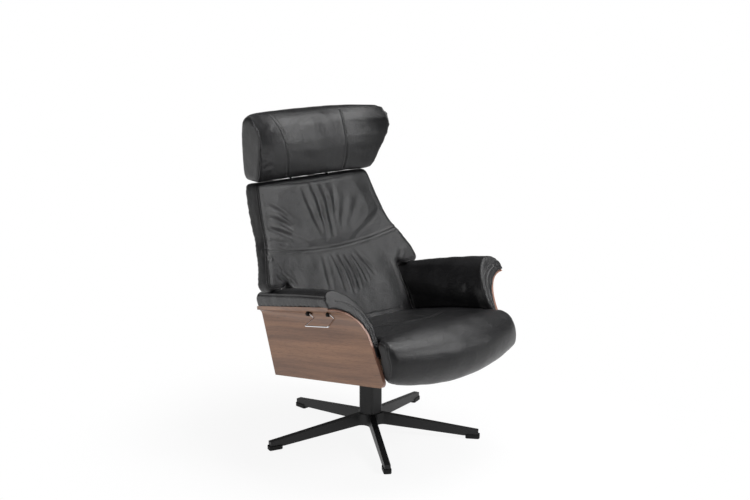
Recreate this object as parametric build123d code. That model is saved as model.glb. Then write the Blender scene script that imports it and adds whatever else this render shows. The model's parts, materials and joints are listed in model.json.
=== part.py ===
from build123d import *

import os
from math import asin, atan2, cos, degrees, hypot, radians, sin

# Star base swivel recliner: a leather lounge chair with moulded plywood side shells.
#
# Two frames are used. The floor frame has its origin on the floor under the swivel axis, X to the
# sitter's left, Y to the rear and Z up. The seat frame has the same origin and X, and is leaned
# back by SEAT_TILT about X: the seat, the side shells and the back are drawn square in it.
# Lengths are in millimetres and angles in degrees.

# ---- whole chair ----
SEAT_TILT = 10.5
AXIS_SETBACK = 38  # the swivel axis stands this far behind the middle of the chair's depth

# ---- star base ----
ARMS = 5
FIRST_ARM = 20.7
ARM_REACH = 370
ARM_WIDTH = 20
ARM_ROOT_FILLET = 28
HUB_TOP = 73
HUB_UNDER = 34
ARM_TIP_TOP = 29
GLIDE_SETBACK = 21  # from the arm's tip back to the glide's stud
GLIDE_LENGTH = 48
GLIDE_WIDTH = 26
GLIDE_HEIGHT = 10
GLIDE_END = 5  # how far it stands out past the arm's tip
GLIDE_LIP = 4  # height of its lip round the tip
GLIDE_STUD = 4
GLIDE_STUD_LENGTH = 12

# ---- column and swivel bearing ----
COLUMN_CORNER = 42
COLUMN_TOP = 222
COLUMN_BORE = 20
SPINDLE_RADIUS = 15
SPINDLE_FOOT = 86
BUSH_LENGTH = 28
BUSH_FLANGE = 26
WASHER_THICK = 3
HUB_RADIUS = 32
CLIP_THICK = 2.5
BASE_BOLT_RADIUS = 3
BASE_BOLT_CIRCLE = 30.5
BASE_BOLT_LENGTH = 66
RUNNING_GAP = 0.05

# ---- seat frame, heights and depths in the seat frame ----
RAIL_LOW = 266
RAIL_TOP = 326
RAIL_WALL = 24
CROSS_RAIL_LOW = 287
CROSS_RAIL_WALL = 22
FRAME_FRONT = -395
FRAME_REAR = 112
CHANNEL_WIDTH = 40
CHANNEL_WALL = 3
CHANNEL_CENTRE = 80
PLATE_WALL = 6
PLATE_LENGTH = 200
WEB_WIDTH = 50
WEB_THICK = 2.5
WEB_COUNT = 5
WEB_START = 60
WEB_END = 150
COVER_THICK = 1.5
COVER_OPENING = 104

# ---- side shells ----
SHELL_HALF = 284
SHELL_WALL = 12
SHELL_LOW = 243
SHELL_LOW_REAR = 254
SHELL_FRONT_FOOT = -437
SHELL_FRONT_BEND = (-389, 397)
SHELL_FRONT_TOP = (-331, 507)
SHELL_REAR_FOOT = 111
SHELL_REAR_SHOULDER = (141, 462)
SHELL_REAR_TOP = 131
SHELL_CORNER = 18
LIP_FRONT = 495  # height of the outer face's upper end, at the front and the rear corner
LIP_REAR = 477
FLARE_FRONT = 98  # radius of the outward bend there
FLARE_REAR = 20

# ---- arm pads ----
PAD_INNER = 20
PAD_TOP_FRONT = 44
PAD_TOP_REAR = 46
PAD_LEAD = 16
PAD_FOOT = 331

# ---- seat cushion ----
SEAT_SIDE_GAP = 4  # between the cushion's side and the arm pad
SEAT_LOW = 329
SEAT_TOP = 392
SEAT_CROWN = 8
ROLL_STEP = 8  # how far the roll's ends stand in from the shells' outer faces
ROLL_SIDE_NOSE = -482
ROLL_SIDE_LOW = 260
ROLL_BOW = 52
ROLL_DROP = 42
ROLL_EDGE = 14  # how far the roll draws in at its ends
SEAT_EDGE = 14  # width of the seat's rounded side edges
SEAT_REAR_DROP = 6
CREASE_Y = -375
CREASE_HALF = 11
CREASE_DEPTH = 5
CUSHION_GAP = 3

# ---- back ----
HINGE_Y = 60
HINGE_Z = 340
TUBE_RADIUS = 12.5
TUBE_SIDE_GAP = 8  # between the tube's end and the side rail
JOURNAL_RADIUS = 8
BACK_LOW = 350
BACK_TOP = 881
BACK_SIDE_GAP = 7  # between the back's narrow part and the arm pad
BACK_SHOULDER = 340
BACK_SHOULDER_Z = 567
BACK_WING_LOW = 551
BACK_TOP_HALF = 250
BACK_CUSHION = 42
BACK_EDGE = 18  # radius of the back cushion's long front edges
BACK_END = 16  # how far its face draws in at the top and bottom
BACK_HOLLOW = 2  # how much deeper its middle lies than the straight line across
SEAM_Z = 644  # the V-shaped seam's lowest point, and its rise at the shoulders
SEAM_RISE = 38
SEAM_WIDTH = 6
SEAM_DEPTH = 8
BACK_SHELL = 10
BACK_COVER = 10
SHELL_INSET = 12
LEVER_ARM = 65
RECLINE = 25
BRACKET_CENTRE = 150
BRACKET_WALL = 6
BRACKET_FOOT_WIDTH = 44
BRACKET_FOOT_LENGTH = 118
BRACKET_BOLT_ACROSS = 13
BRACKET_BOLT_ENDS = 20

# ---- gas spring ----
GAS_RADIUS = 10
GAS_LENGTH = 190
ROD_RADIUS = 5
PIN_RADIUS = 4
EYE_RADIUS = 10
EYE_PLAY = 1.4
ANCHOR_LENGTH = 34
LEVER_WALL = 5

# ---- headrest ----
POST_RADIUS = 6
POST_CENTRE = 80
POST_LEAN = 26  # from upright, in the floor frame
POST_PLACE = (330, 868)  # a point on the posts' line, in the floor frame
HINGE_RISE = 25  # from there along the posts to the tilt hinge
GUIDE_LENGTH = 110
GUIDE_DROP = 131  # from the tilt hinge down to the middle of the guide
POST_DROP = 196  # from the tilt hinge down to the posts' lower ends
HEAD_LOW = 864
HEAD_TOP = 1078
HEAD_HALF = 294
HEAD_EDGE = 14  # how far the cushion draws in at its top and bottom
HEAD_SEAM = [(126, 860), (129, 890), (131, 930), (138, 1011), (164, 1080)]
HEAD_SEAM_WIDTH = 5
HEAD_SEAM_DEPTH = 6
BARREL_RADIUS = 9
HEAD_PIN_RADIUS = 5
HEAD_PLATE_HALF = 112
HEAD_PLATE_WALL = 5
HEAD_PLATE_TOP = 1020

# ---- release handle ----
HANDLE_WIRE = 2.3
HANDLE_STANDOFF = 8.8  # from the shell's outer face to the pivot axis
HANDLE_PIVOT_Z = 473
HANDLE_FRONT = -267
HANDLE_SPACING = 100
HANDLE_LEG = (0, -20, -12)
HANDLE_DROP = 19
HANDLE_OUT = 35
HANDLE_SPLAY = 8
HANDLE_BEND = 5
EYELET_RADIUS = 7
CABLE_RADIUS = 2.5


# ---- sizes that follow from these ----
WIDE = 600  # more than half the chair's width, for cutting right through
GLIDE_CIRCLE = ARM_REACH - GLIDE_SETBACK
SHELL_BACK = SHELL_HALF - SHELL_WALL
PAD_FACE = SHELL_BACK - PAD_INNER
RAIL_INNER = SHELL_BACK - RAIL_WALL
SEAT_HALF = PAD_FACE - SEAT_SIDE_GAP
ROLL_HALF = SHELL_HALF - ROLL_STEP
BACK_NECK = PAD_FACE - BACK_SIDE_GAP
TUBE_HALF = RAIL_INNER - TUBE_SIDE_GAP


# ---- shared shapes ----
def block(x, y, z):
    """A box from three (low, high) pairs."""
    sizes = [high - low for low, high in (x, y, z)]
    middle = [(low + high) / 2 for low, high in (x, y, z)]
    return Pos(*middle) * Box(*sizes)


def both_sides(solid):
    """A solid on the left and its mirror image on the right."""
    return solid, mirror(solid, about=Plane.YZ)


def bar_x(radius, x_low, x_high, y, z):
    """A round bar along X."""
    return Pos((x_low + x_high) / 2, y, z) * Rot(0, 90, 0) * Cylinder(radius, x_high - x_low)


def bar_y(radius, y_low, y_high, x, z):
    """A round bar along Y."""
    return Pos(x, (y_low + y_high) / 2, z) * Rot(90, 0, 0) * Cylinder(radius, y_high - y_low)


def bar_z(radius, z_low, z_high, x=0, y=0):
    """A round bar along Z."""
    return Pos(x, y, (z_low + z_high) / 2) * Cylinder(radius, z_high - z_low)


def plate_x(points, x_low, x_high, radius=0):
    """A plate from x_low to x_high with a polygon of (y, z) points as its outline."""
    corners = [(x_low, y, z) for y, z in points]
    if radius:
        outline = FilletPolyline(*corners, radius=radius, close=True)
    else:
        outline = Polyline(*corners, close=True)
    return extrude(make_face(outline), amount=x_high - x_low, dir=(1, 0, 0))


def between(low, high, share):
    """The value a share of the way from low to high."""
    return low + (high - low) * share


def to_seat_frame(y, z):
    """A floor frame point of the chair's middle plane, in the seat frame."""
    tilt = radians(SEAT_TILT)
    return y * cos(tilt) - z * sin(tilt), y * sin(tilt) + z * cos(tilt)


FLOOR = Pos(0, AXIS_SETBACK, 0)
LEAN = Rot(-SEAT_TILT, 0, 0)
SEAT = FLOOR * LEAN


# ---- star base, in the floor frame ----
def star_base():
    """The five-armed casting: a filleted star plan cut to the arms' side profile."""
    plan = Sketch()
    for arm in range(ARMS):
        turn = Rot(0, 0, FIRST_ARM + arm * 360 / ARMS)
        plan += turn * Pos(ARM_REACH / 2, 0) * Rectangle(ARM_REACH, ARM_WIDTH)
    roots = plan.vertices().sort_by(lambda v: hypot(v.X, v.Y))[:ARMS]
    plan = fillet(roots, ARM_ROOT_FILLET)
    root = COLUMN_CORNER + 6
    foot = GLIDE_CIRCLE - GLIDE_LENGTH / 2 - 4
    reach = ARM_REACH + 1
    profile = Polyline(
        (0, 0, HUB_UNDER),
        (root, 0, HUB_UNDER),
        (foot, 0, GLIDE_HEIGHT),
        (reach, 0, GLIDE_HEIGHT),
        (reach, 0, ARM_TIP_TOP),
        (root, 0, HUB_TOP),
        (0, 0, HUB_TOP),
        close=True,
    )
    casting = extrude(plan, amount=HUB_TOP + 1) & revolve(make_face(profile), Axis.Z)
    for place in glide_places():
        casting -= place * bar_z(GLIDE_STUD, GLIDE_HEIGHT - 1, GLIDE_HEIGHT + GLIDE_STUD_LENGTH)
    for bolt in bolt_places():
        casting -= bolt * bar_z(BASE_BOLT_RADIUS, HUB_UNDER - 1, HUB_TOP + 1)
    return casting


def glide_places():
    """The five arms' directions at the glide circle."""
    turns = [Rot(0, 0, FIRST_ARM + arm * 360 / ARMS) for arm in range(ARMS)]
    return [turn * Pos(GLIDE_CIRCLE, 0, 0) for turn in turns]


def bolt_places():
    """The base bolts stand in the column's corners, over the arms."""
    turns = [Rot(0, 0, FIRST_ARM + arm * 360 / ARMS) for arm in range(ARMS)]
    return [turn * Pos(BASE_BOLT_CIRCLE, 0, 0) for turn in turns]


def floor_glide():
    """A moulded glide, lipped round the arm's tip, with a snap stud that presses into the arm."""
    tip = GLIDE_SETBACK
    plan = Pos(tip + GLIDE_END - GLIDE_LENGTH / 2, 0) * Rectangle(GLIDE_LENGTH, GLIDE_WIDTH)
    pad = extrude(fillet(plan.vertices(), GLIDE_WIDTH / 4), amount=GLIDE_HEIGHT + GLIDE_LIP)
    pad = chamfer(pad.faces().sort_by(Axis.Z)[0].edges(), 1.5)
    half = ARM_WIDTH / 2
    pad -= block((-GLIDE_LENGTH, tip), (-half, half), (GLIDE_HEIGHT, GLIDE_HEIGHT + GLIDE_LIP + 1))
    return pad + bar_z(GLIDE_STUD, GLIDE_HEIGHT, GLIDE_HEIGHT + GLIDE_STUD_LENGTH - 1)


def column():
    """The five-sided column, bored for the two swivel bushes."""
    outline = Rot(0, 0, FIRST_ARM) * RegularPolygon(COLUMN_CORNER, ARMS)
    outline = fillet(outline.vertices(), COLUMN_CORNER / 4)
    body = Pos(0, 0, HUB_TOP) * extrude(outline, amount=COLUMN_TOP - HUB_TOP)
    body = chamfer(body.faces().sort_by(Axis.Z)[-1].edges(), 2)
    body -= bar_z(COLUMN_BORE, HUB_TOP - 1, COLUMN_TOP + 1)
    for bolt in bolt_places():
        body -= bolt * bar_z(BASE_BOLT_RADIUS, HUB_TOP - 1, HUB_UNDER + BASE_BOLT_LENGTH)
    return body


def base_bolts():
    """Hexagon head bolts that hold the column on the hub, from below."""
    head = Pos(0, 0, HUB_UNDER - 4) * extrude(RegularPolygon(5.5, 6), amount=4)
    bolt = head + bar_z(BASE_BOLT_RADIUS, HUB_UNDER, HUB_UNDER + BASE_BOLT_LENGTH)
    return Compound([place * bolt for place in bolt_places()])


def bush(low, flange):
    """A plastic swivel bush, with a thrust flange on the upper one."""
    body = bar_z(COLUMN_BORE, low, low + BUSH_LENGTH)
    if flange:
        body += bar_z(BUSH_FLANGE, low + BUSH_LENGTH, low + BUSH_LENGTH + WASHER_THICK)
    bore = SPINDLE_RADIUS + RUNNING_GAP
    return body - bar_z(bore, low - 1, low + BUSH_LENGTH + WASHER_THICK + 1)


UPPER_BUSH_LOW = COLUMN_TOP - BUSH_LENGTH
LOWER_BUSH_LOW = SPINDLE_FOOT + 10
WASHER_LOW = COLUMN_TOP + WASHER_THICK
SPINDLE_SEAT = WASHER_LOW + WASHER_THICK


def thrust_washer():
    """The steel washer that carries the seat on the upper bush's flange."""
    body = bar_z(BUSH_FLANGE, WASHER_LOW, SPINDLE_SEAT)
    return body - bar_z(SPINDLE_RADIUS + RUNNING_GAP, WASHER_LOW - 1, SPINDLE_SEAT + 1)


CLIP_LOW = SPINDLE_FOOT + 4
CLIP_GROOVE = SPINDLE_RADIUS - 1.7
PLATE_LOW = RAIL_LOW - PLATE_WALL - 2


def swivel_spindle():
    """The turning spindle: its hub's top is cut to the tilted mounting plate."""
    shaft = bar_z(SPINDLE_RADIUS, SPINDLE_FOOT, SPINDLE_SEAT)
    groove = bar_z(SPINDLE_RADIUS + 1, CLIP_LOW, CLIP_LOW + CLIP_THICK)
    shaft -= groove - bar_z(CLIP_GROOVE, CLIP_LOW, CLIP_LOW + CLIP_THICK)
    shaft = chamfer(shaft.faces().sort_by(Axis.Z)[0].edges(), 1.5)
    hub = bar_z(HUB_RADIUS, SPINDLE_SEAT, SPINDLE_SEAT + 60)
    above = LEAN * block((-200, 200), (-200, 200), (PLATE_LOW, PLATE_LOW + 200))
    return shaft + (hub - above)


def retaining_clip():
    """The open spring ring in the spindle's groove."""
    ring = bar_z(SPINDLE_RADIUS + 3.5, CLIP_LOW, CLIP_LOW + CLIP_THICK)
    ring -= bar_z(CLIP_GROOVE, CLIP_LOW - 1, CLIP_LOW + CLIP_THICK + 1)
    return ring - block((0, 30), (-5, 5), (CLIP_LOW - 1, CLIP_LOW + CLIP_THICK + 1))


# ---- seat frame pieces, in the seat frame ----
PLATE_MIDDLE = to_seat_frame(0, SPINDLE_SEAT + 20)[0]
PLATE_BOLT_Y = PLATE_LENGTH / 2 - 18
CHANNEL_LOW = PLATE_LOW + PLATE_WALL
GAS_Z = HINGE_Z - LEVER_ARM * (1 + cos(radians(RECLINE / 2))) / 2
EYE_Y = HINGE_Y + LEVER_ARM * sin(radians(RECLINE / 2))
EYE_Z = HINGE_Z - LEVER_ARM * cos(radians(RECLINE / 2))
ROD_TRAVEL = 2 * LEVER_ARM * sin(radians(RECLINE / 2))
GAS_REAR = EYE_Y - ROD_TRAVEL - EYE_RADIUS - 12
GAS_FRONT = GAS_REAR - GAS_LENGTH


def swivel_plate():
    """The steel plate between the spindle and the two channels."""
    width = CHANNEL_CENTRE + CHANNEL_WIDTH / 2
    low, high = PLATE_MIDDLE - PLATE_LENGTH / 2, PLATE_MIDDLE + PLATE_LENGTH / 2
    plate = block((-width, width), (low, high), (PLATE_LOW, CHANNEL_LOW))
    plate = fillet(plate.edges().filter_by(Axis.Z), 14)
    for x, y in plate_bolt_places():
        plate -= bar_z(BASE_BOLT_RADIUS, PLATE_LOW - 1, CHANNEL_LOW + 1, x, y)
    return plate


def plate_bolt_places():
    """Two bolts into each channel."""
    sides = (-CHANNEL_CENTRE, CHANNEL_CENTRE)
    ends = (PLATE_MIDDLE - PLATE_BOLT_Y, PLATE_MIDDLE + PLATE_BOLT_Y)
    return [(x, y) for x in sides for y in ends]


def plate_bolts():
    """Hexagon bolts through the plate into the channels."""
    top = CHANNEL_LOW + CHANNEL_WALL + 4
    bolts = []
    for x, y in plate_bolt_places():
        head = Pos(x, y, PLATE_LOW - 4) * extrude(RegularPolygon(5.5, 6), amount=4)
        bolts.append(head + bar_z(BASE_BOLT_RADIUS, PLATE_LOW, top, x, y))
    return Compound(bolts)


def support_channel():
    """A folded steel channel, open upwards, under the two cross rails."""
    half = CHANNEL_WIDTH / 2
    x = (CHANNEL_CENTRE - half, CHANNEL_CENTRE + half)
    inside = (x[0] + CHANNEL_WALL, x[1] - CHANNEL_WALL)
    y = (FRAME_FRONT, FRAME_REAR)
    channel = block(x, y, (CHANNEL_LOW, CROSS_RAIL_LOW))
    hollow = (CHANNEL_LOW + CHANNEL_WALL, CROSS_RAIL_LOW + 1)
    channel -= block(inside, (y[0] - 1, y[1] + 1), hollow)
    for bolt_x, bolt_y in plate_bolt_places():
        channel -= bar_z(BASE_BOLT_RADIUS, CHANNEL_LOW - 1, CHANNEL_LOW + 9, bolt_x, bolt_y)
    return channel - bar_x(PIN_RADIUS, x[0] - 1, inside[0] + 1, ANCHOR_Y, GAS_Z)


ANCHOR_Y = GAS_FRONT - ANCHOR_LENGTH / 2


def side_rail():
    """A beech rail screwed to the inside of each shell."""
    rail = block((RAIL_INNER, SHELL_BACK), (FRAME_FRONT, FRAME_REAR), (RAIL_LOW, RAIL_TOP))
    for y, z in shell_screw_places():
        rail -= bar_x(SCREW_RADIUS, RAIL_INNER - 1, SHELL_BACK + 1, y, z)
    return rail


SCREW_RADIUS = 2.5
SCREW_COUNT = 4


def shell_screw_places():
    """Screws in a row, high and low in turn."""
    step = (FRAME_REAR - FRAME_FRONT - 80) / (SCREW_COUNT - 1)
    heights = (between(RAIL_LOW, RAIL_TOP, 0.3), between(RAIL_LOW, RAIL_TOP, 0.7))
    return [(FRAME_FRONT + 40 + i * step, heights[i % 2]) for i in range(SCREW_COUNT)]


def shell_screws():
    """Wood screws from the rail into the shell, with pan heads on the rail."""
    screws = []
    for y, z in shell_screw_places():
        head = bar_x(5, RAIL_INNER - 3, RAIL_INNER, y, z)
        screw = head + bar_x(SCREW_RADIUS, RAIL_INNER, SHELL_BACK + 8, y, z)
        screws += both_sides(screw)
    return Compound([solid for screw in screws for solid in screw.solids()])


def cross_rail(front):
    """A beech cross rail between the side rails."""
    y = (front, front + CROSS_RAIL_WALL)
    return block((-RAIL_INNER, RAIL_INNER), y, (CROSS_RAIL_LOW, RAIL_TOP))


def seat_webbing():
    """Elastic straps stapled across the side rails, under the cushion."""
    first = FRAME_FRONT + WEB_START
    step = (FRAME_REAR - WEB_END - first) / (WEB_COUNT - 1)
    straps = []
    for strap in range(WEB_COUNT):
        y = first + strap * step
        x = RAIL_INNER + RAIL_WALL / 2
        z = (RAIL_TOP, RAIL_TOP + WEB_THICK)
        straps.append(block((-x, x), (y - WEB_WIDTH / 2, y + WEB_WIDTH / 2), z))
    return Compound([solid for strap in straps for solid in strap.solids()])


def dust_cover():
    """Two cloth strips stapled under the frame, each side of the mechanism."""
    z = (RAIL_LOW - COVER_THICK, RAIL_LOW)
    y = (FRAME_FRONT, FRAME_REAR)
    strip = block((COVER_OPENING, RAIL_INNER + RAIL_WALL / 2), y, z)
    return Compound([solid for side in both_sides(strip) for solid in side.solids()])


# ---- side shells and arm pads ----
def slope(low_y, low, high_y, high, y):
    """A value that changes evenly with y."""
    return low + (high - low) * (y - low_y) / (high_y - low_y)


def flare_radius(y):
    """The bend's radius grows evenly to the front, so that the bend is a cone."""
    return slope(SHELL_FRONT_TOP[0], FLARE_FRONT, SHELL_REAR_TOP, FLARE_REAR, y)


def lip_height(y):
    """Height of the upper end of the shell's outer face."""
    return slope(SHELL_FRONT_TOP[0], LIP_FRONT, SHELL_REAR_TOP, LIP_REAR, y)


def on_bend(y, offset, angle):
    """A point of the bend at an offset from the shell's outer face."""
    radius = flare_radius(y) + offset
    across = SHELL_HALF + flare_radius(y) - radius * cos(radians(angle))
    height = lip_height(y) - flare_radius(y) + radius * sin(radians(angle))
    return across, y, height


def bend_arc(y, offset, start, end):
    """An arc of the bend from one angle to another."""
    angles = (start, (start + end) / 2, end)
    return ThreePointArc(*[on_bend(y, offset, angle) for angle in angles])


def shell_face(y, z):
    """How far out the shell's outer face stands at a depth and height."""
    radius = flare_radius(y)
    above = max(z - lip_height(y) + radius, 0)
    return on_bend(y, 0, degrees(asin(above / radius)))[0]


def shell_section(y):
    """The shell's section: an upright wall that bends outwards to level."""
    low = SHELL_LOW - 10
    outer_foot = (SHELL_HALF, y, low)
    inner_foot = (SHELL_BACK, y, low)
    return Wire(
        [
            Line(outer_foot, on_bend(y, 0, 0)),
            bend_arc(y, 0, 0, 90),
            Line(on_bend(y, 0, 90), on_bend(y, SHELL_WALL, 90)),
            bend_arc(y, SHELL_WALL, 90, 0),
            Line(on_bend(y, SHELL_WALL, 0), inner_foot),
            Line(inner_foot, outer_foot),
        ]
    )


def shell_outline(lead=0):
    """The shell's side outline as a thick plate, its front edge moved forward by lead."""
    foot = (0, SHELL_FRONT_FOOT - lead, SHELL_LOW)
    bend = (0, SHELL_FRONT_BEND[0] - lead, SHELL_FRONT_BEND[1])
    top = (0, SHELL_FRONT_TOP[0] - lead, SHELL_FRONT_TOP[1] + lead)
    rise = (0, bend[1] - foot[1], bend[2] - foot[2])
    crown = top[2] + 60
    rear_top = (0, SHELL_REAR_TOP, crown)
    shoulder = (0, *SHELL_REAR_SHOULDER)
    rear_foot = (0, SHELL_REAR_FOOT, SHELL_LOW_REAR)
    edge = TangentArc(bend, top, tangent=rise)
    leave = edge % 1
    peak = (0, top[1] + leave.Y / leave.Z * (crown - top[2]), crown)
    path = [
        Line(foot, bend),
        edge,
        Polyline(top, peak, rear_top, shoulder, rear_foot, foot),
    ]
    return extrude(make_face(path), amount=WIDE, dir=(1, 0, 0))


def side_shell():
    """The left shell: a conical bend cut to its side outline."""
    reach = (SHELL_FRONT_FOOT - 20, SHELL_REAR_SHOULDER[0] + 20)
    panel = Solid.make_loft([shell_section(y) for y in reach], ruled=True)
    outline = shell_outline()
    corners = outline.edges().filter_by(Axis.X).group_by(Axis.Z)[0]
    shell = panel & fillet(corners, SHELL_CORNER)
    for y, z in shell_screw_places():
        shell -= bar_x(SCREW_RADIUS, SHELL_BACK - 1, SHELL_BACK + 8, y, z)
    return shell


def pad_top(y):
    """Thickness of the arm pad over the shell's upper end."""
    return slope(SHELL_FRONT_TOP[0], PAD_TOP_FRONT, SHELL_REAR_TOP, PAD_TOP_REAR, y)


def pad_section(y):
    """The pad's section: up the shell's inner face, over its end and rounded outside."""
    radius, lip, top = flare_radius(y), lip_height(y) + SHELL_WALL, pad_top(y)
    face = PAD_FACE
    end = SHELL_HALF + radius
    bend = lip - SHELL_WALL - radius
    inner_foot = (face, y, PAD_FOOT)
    inner_bend = (face, y, bend)
    haunch = (between(face, end, 0.15), y, between(bend, lip + top, 0.68))
    crest = (between(face, end, 0.6), y, lip + top)
    side = (end + 2, y, lip + 0.4 * top)
    half_wall = SHELL_WALL / 2
    return Wire(
        [
            Line(inner_foot, inner_bend),
            ThreePointArc(inner_bend, haunch, crest),
            ThreePointArc(crest, (between(face, end, 0.93), y, lip + 0.86 * top), side),
            Line(side, on_bend(y, half_wall, 90)),
            bend_arc(y, half_wall, 90, 0),
            Line(on_bend(y, half_wall, 0), (SHELL_BACK + half_wall, y, PAD_FOOT)),
            Line((SHELL_BACK + half_wall, y, PAD_FOOT), inner_foot),
        ]
    )


def arm_pad(shell):
    """The left arm pad, seated on the shell's inner face and its upper end."""
    reach = (SHELL_FRONT_FOOT - 20, SHELL_REAR_SHOULDER[0] + 20)
    pad = Solid.make_loft([pad_section(y) for y in reach], ruled=True)
    pad &= shell_outline(PAD_LEAD)
    behind = block((0, WIDE), (FRAME_REAR, WIDE), (0, SHELL_REAR_SHOULDER[1] - 60))
    return pad - shell - hinge_block_outside() - behind


# ---- seat cushion ----
def back_line(z):
    """Depth of the back cushion's front face on the middle plane, at a height."""
    points = BACK_LINE
    index = 0
    while index < len(points) - 2 and z > points[index + 1][1]:
        index += 1
    (y_low, z_low), (y_high, z_high) = points[index], points[index + 1]
    return slope(z_low, y_low, z_high, y_high, z)


BACK_LINE = [(-47, 350), (-1, 480), (50, 600), (102, 740), (134, 880)]
BACK_WEBBED = BACK_LINE[1][1]  # heights where the back's line turns: the back's narrow part
BACK_WAIST = BACK_LINE[2][1]
BACK_UPPER = BACK_LINE[3][1]


def roll_curve(x):
    """The cushion's rounded front at a station across: fullest in the middle."""
    fullness = 1 - (x / ROLL_HALF) ** 2
    nose = ROLL_SIDE_NOSE - ROLL_BOW * fullness
    low = ROLL_SIDE_LOW - ROLL_DROP * fullness
    middle = between(low, SEAT_TOP, 0.52)
    return nose, low, middle


def seat_section(x, inset=0):
    """The cushion's side profile: crowned seat, sewn crease, round front and a tail under it."""
    nose, low, middle = roll_curve(x)
    nose, low = nose + inset, low + inset
    crown = SEAT_TOP + SEAT_CROWN * (1 - (x / SEAT_HALF) ** 2) - inset
    rail = FRAME_FRONT - 1
    rear_top = back_line(crown) - CUSHION_GAP - 2
    rear_low = back_line(SEAT_LOW) - CUSHION_GAP - 2
    top = (x, rear_top, crown - SEAT_REAR_DROP)
    crest = (x, between(rear_top, CREASE_Y, 0.5), crown + 2)
    before = (x, CREASE_Y + CREASE_HALF, crown)
    bottom = (x, CREASE_Y, crown - CREASE_DEPTH)
    after = (x, CREASE_Y - CREASE_HALF, crown - 1)
    upper = (x, between(CREASE_Y, nose, 0.72), between(crown, middle, 0.3))
    lower = (x, between(rail, nose, 0.8), between(middle, low, 0.68))
    under = (x, between(rail, nose, 0.3), low)
    back = (x, rail, between(low, SEAT_LOW, 0.25))
    return Wire(
        [
            Line((x, rear_low, SEAT_LOW), top),
            ThreePointArc(top, crest, before),
            Line(before, bottom),
            Line(bottom, after),
            Spline(after, upper, (x, nose, middle), lower, under, back),
            Line(back, (x, rail, SEAT_LOW)),
            Line((x, rail, SEAT_LOW), (x, rear_low, SEAT_LOW)),
        ]
    )


def roll_section(x, inset):
    """The front roll's profile where it passes in front of the shell."""
    nose, low, middle = roll_curve(x)
    rail = FRAME_FRONT - 6
    top = (x, rail - inset, SEAT_TOP - 4 - inset)
    upper = (x, between(rail, nose, 0.66), between(SEAT_TOP - inset, middle, 0.28))
    lower = (x, between(rail, nose, 0.8), between(middle, low, 0.68))
    under = (x, between(rail, nose, 0.3), low + inset)
    return Wire(
        [
            Spline(top, upper, (x, nose + inset, middle), lower, under),
            Line(under, top),
        ]
    )


def seat_cushion(shells, pads):
    """The seat cushion with its waterfall front, cut to the shells and pads beside it."""
    shoulder = SEAT_HALF - SEAT_EDGE
    stations = [shoulder * share for share in (-1, -0.5, 0, 0.5, 1)]
    cushion = Solid.make_loft([seat_section(x) for x in stations])
    edge = [
        seat_section(shoulder),
        seat_section(SEAT_HALF - 0.3 * SEAT_EDGE, 0.3 * SEAT_EDGE),
        seat_section(SEAT_HALF, 0.8 * SEAT_EDGE),
    ]
    roll_end = [
        roll_section(shoulder, 0),
        roll_section(between(SEAT_HALF, ROLL_HALF, 0.6), 0.2 * ROLL_EDGE),
        roll_section(ROLL_HALF, ROLL_EDGE),
    ]
    for sections in (edge, roll_end):
        for end in both_sides(Solid.make_loft(sections, ruled=True)):
            cushion += end
    for neighbour in (*shells, *pads):
        cushion -= neighbour
    return max(cushion.solids(), key=lambda solid: solid.volume)


# ---- back, in the seat frame ----
def back_sag(z):
    """How far the back's face comes forward at its sides, for each half width squared."""
    table = [(z, share) for (y, z), share in zip(BACK_LINE, (0, 6e-5, 26e-5, 14e-5, 5e-5))]
    index = 0
    while index < len(table) - 2 and z > table[index + 1][0]:
        index += 1
    (z_low, low), (z_high, high) = table[index], table[index + 1]
    return slope(z_low, low, z_high, high, z)


def back_layer(front, rear):
    """A curved slab between two depths behind the back's front face."""
    half = BACK_SHOULDER + 20
    sections = []
    for y, z in BACK_LINE:
        edge = y - back_sag(z) * half**2
        ahead = [(-half, edge + front, z), (0, y + front, z), (half, edge + front, z)]
        behind = [(half, edge + rear, z), (0, y + rear, z), (-half, edge + rear, z)]
        if back_sag(z) > 0:
            face, rear_face = ThreePointArc(*ahead), ThreePointArc(*behind)
        else:
            face, rear_face = Line(ahead[0], ahead[2]), Line(behind[0], behind[2])
        sides = [Line(ahead[2], behind[0]), Line(behind[2], ahead[0])]
        sections.append(Wire([face, sides[0], rear_face, sides[1]]))
    return Solid.make_loft(sections)


def back_outline(inset, top):
    """The back's front view as a thick block: narrow between the arms, winged above."""
    neck = BACK_NECK - inset
    tip = BACK_SHOULDER - inset
    wing = BACK_WING_LOW + inset
    crown = top - inset
    foot = BACK_LOW + 2
    right = [
        (neck, foot),
        (neck, wing),
        (tip - 14, wing),
        (tip, BACK_SHOULDER_Z + inset / 2),
        (between(tip, BACK_TOP_HALF - inset, 0.62), between(BACK_SHOULDER_Z, BACK_TOP, 0.42)),
        (BACK_TOP_HALF - inset, crown - 8),
        (BACK_TOP_HALF - inset - 14, crown),
    ]
    left = [(-x, z) for x, z in reversed(right)]
    corners = [(x, -200, z) for x, z in right + left]
    face = make_face(Polyline(*corners, close=True))
    return extrude(face, amount=WIDE, dir=(0, 1, 0))


def headrest_guide_block():
    """The guide's outer block, in the seat frame."""
    size = block(
        (-POST_CENTRE - 22, POST_CENTRE + 22), (-11, 28), (-GUIDE_LENGTH / 2, GUIDE_LENGTH / 2)
    )
    return GUIDE * size


POST_TURN = POST_LEAN - SEAT_TILT
HEAD_HINGE = (
    POST_PLACE[0] + HINGE_RISE * sin(radians(POST_LEAN)),
    POST_PLACE[1] + HINGE_RISE * cos(radians(POST_LEAN)),
)
HEAD_HINGE_SEAT = to_seat_frame(*HEAD_HINGE)
POSTS = Pos(0, *HEAD_HINGE_SEAT) * Rot(-POST_TURN, 0, 0)
GUIDE = POSTS * Pos(0, 0, -GUIDE_DROP)


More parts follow.
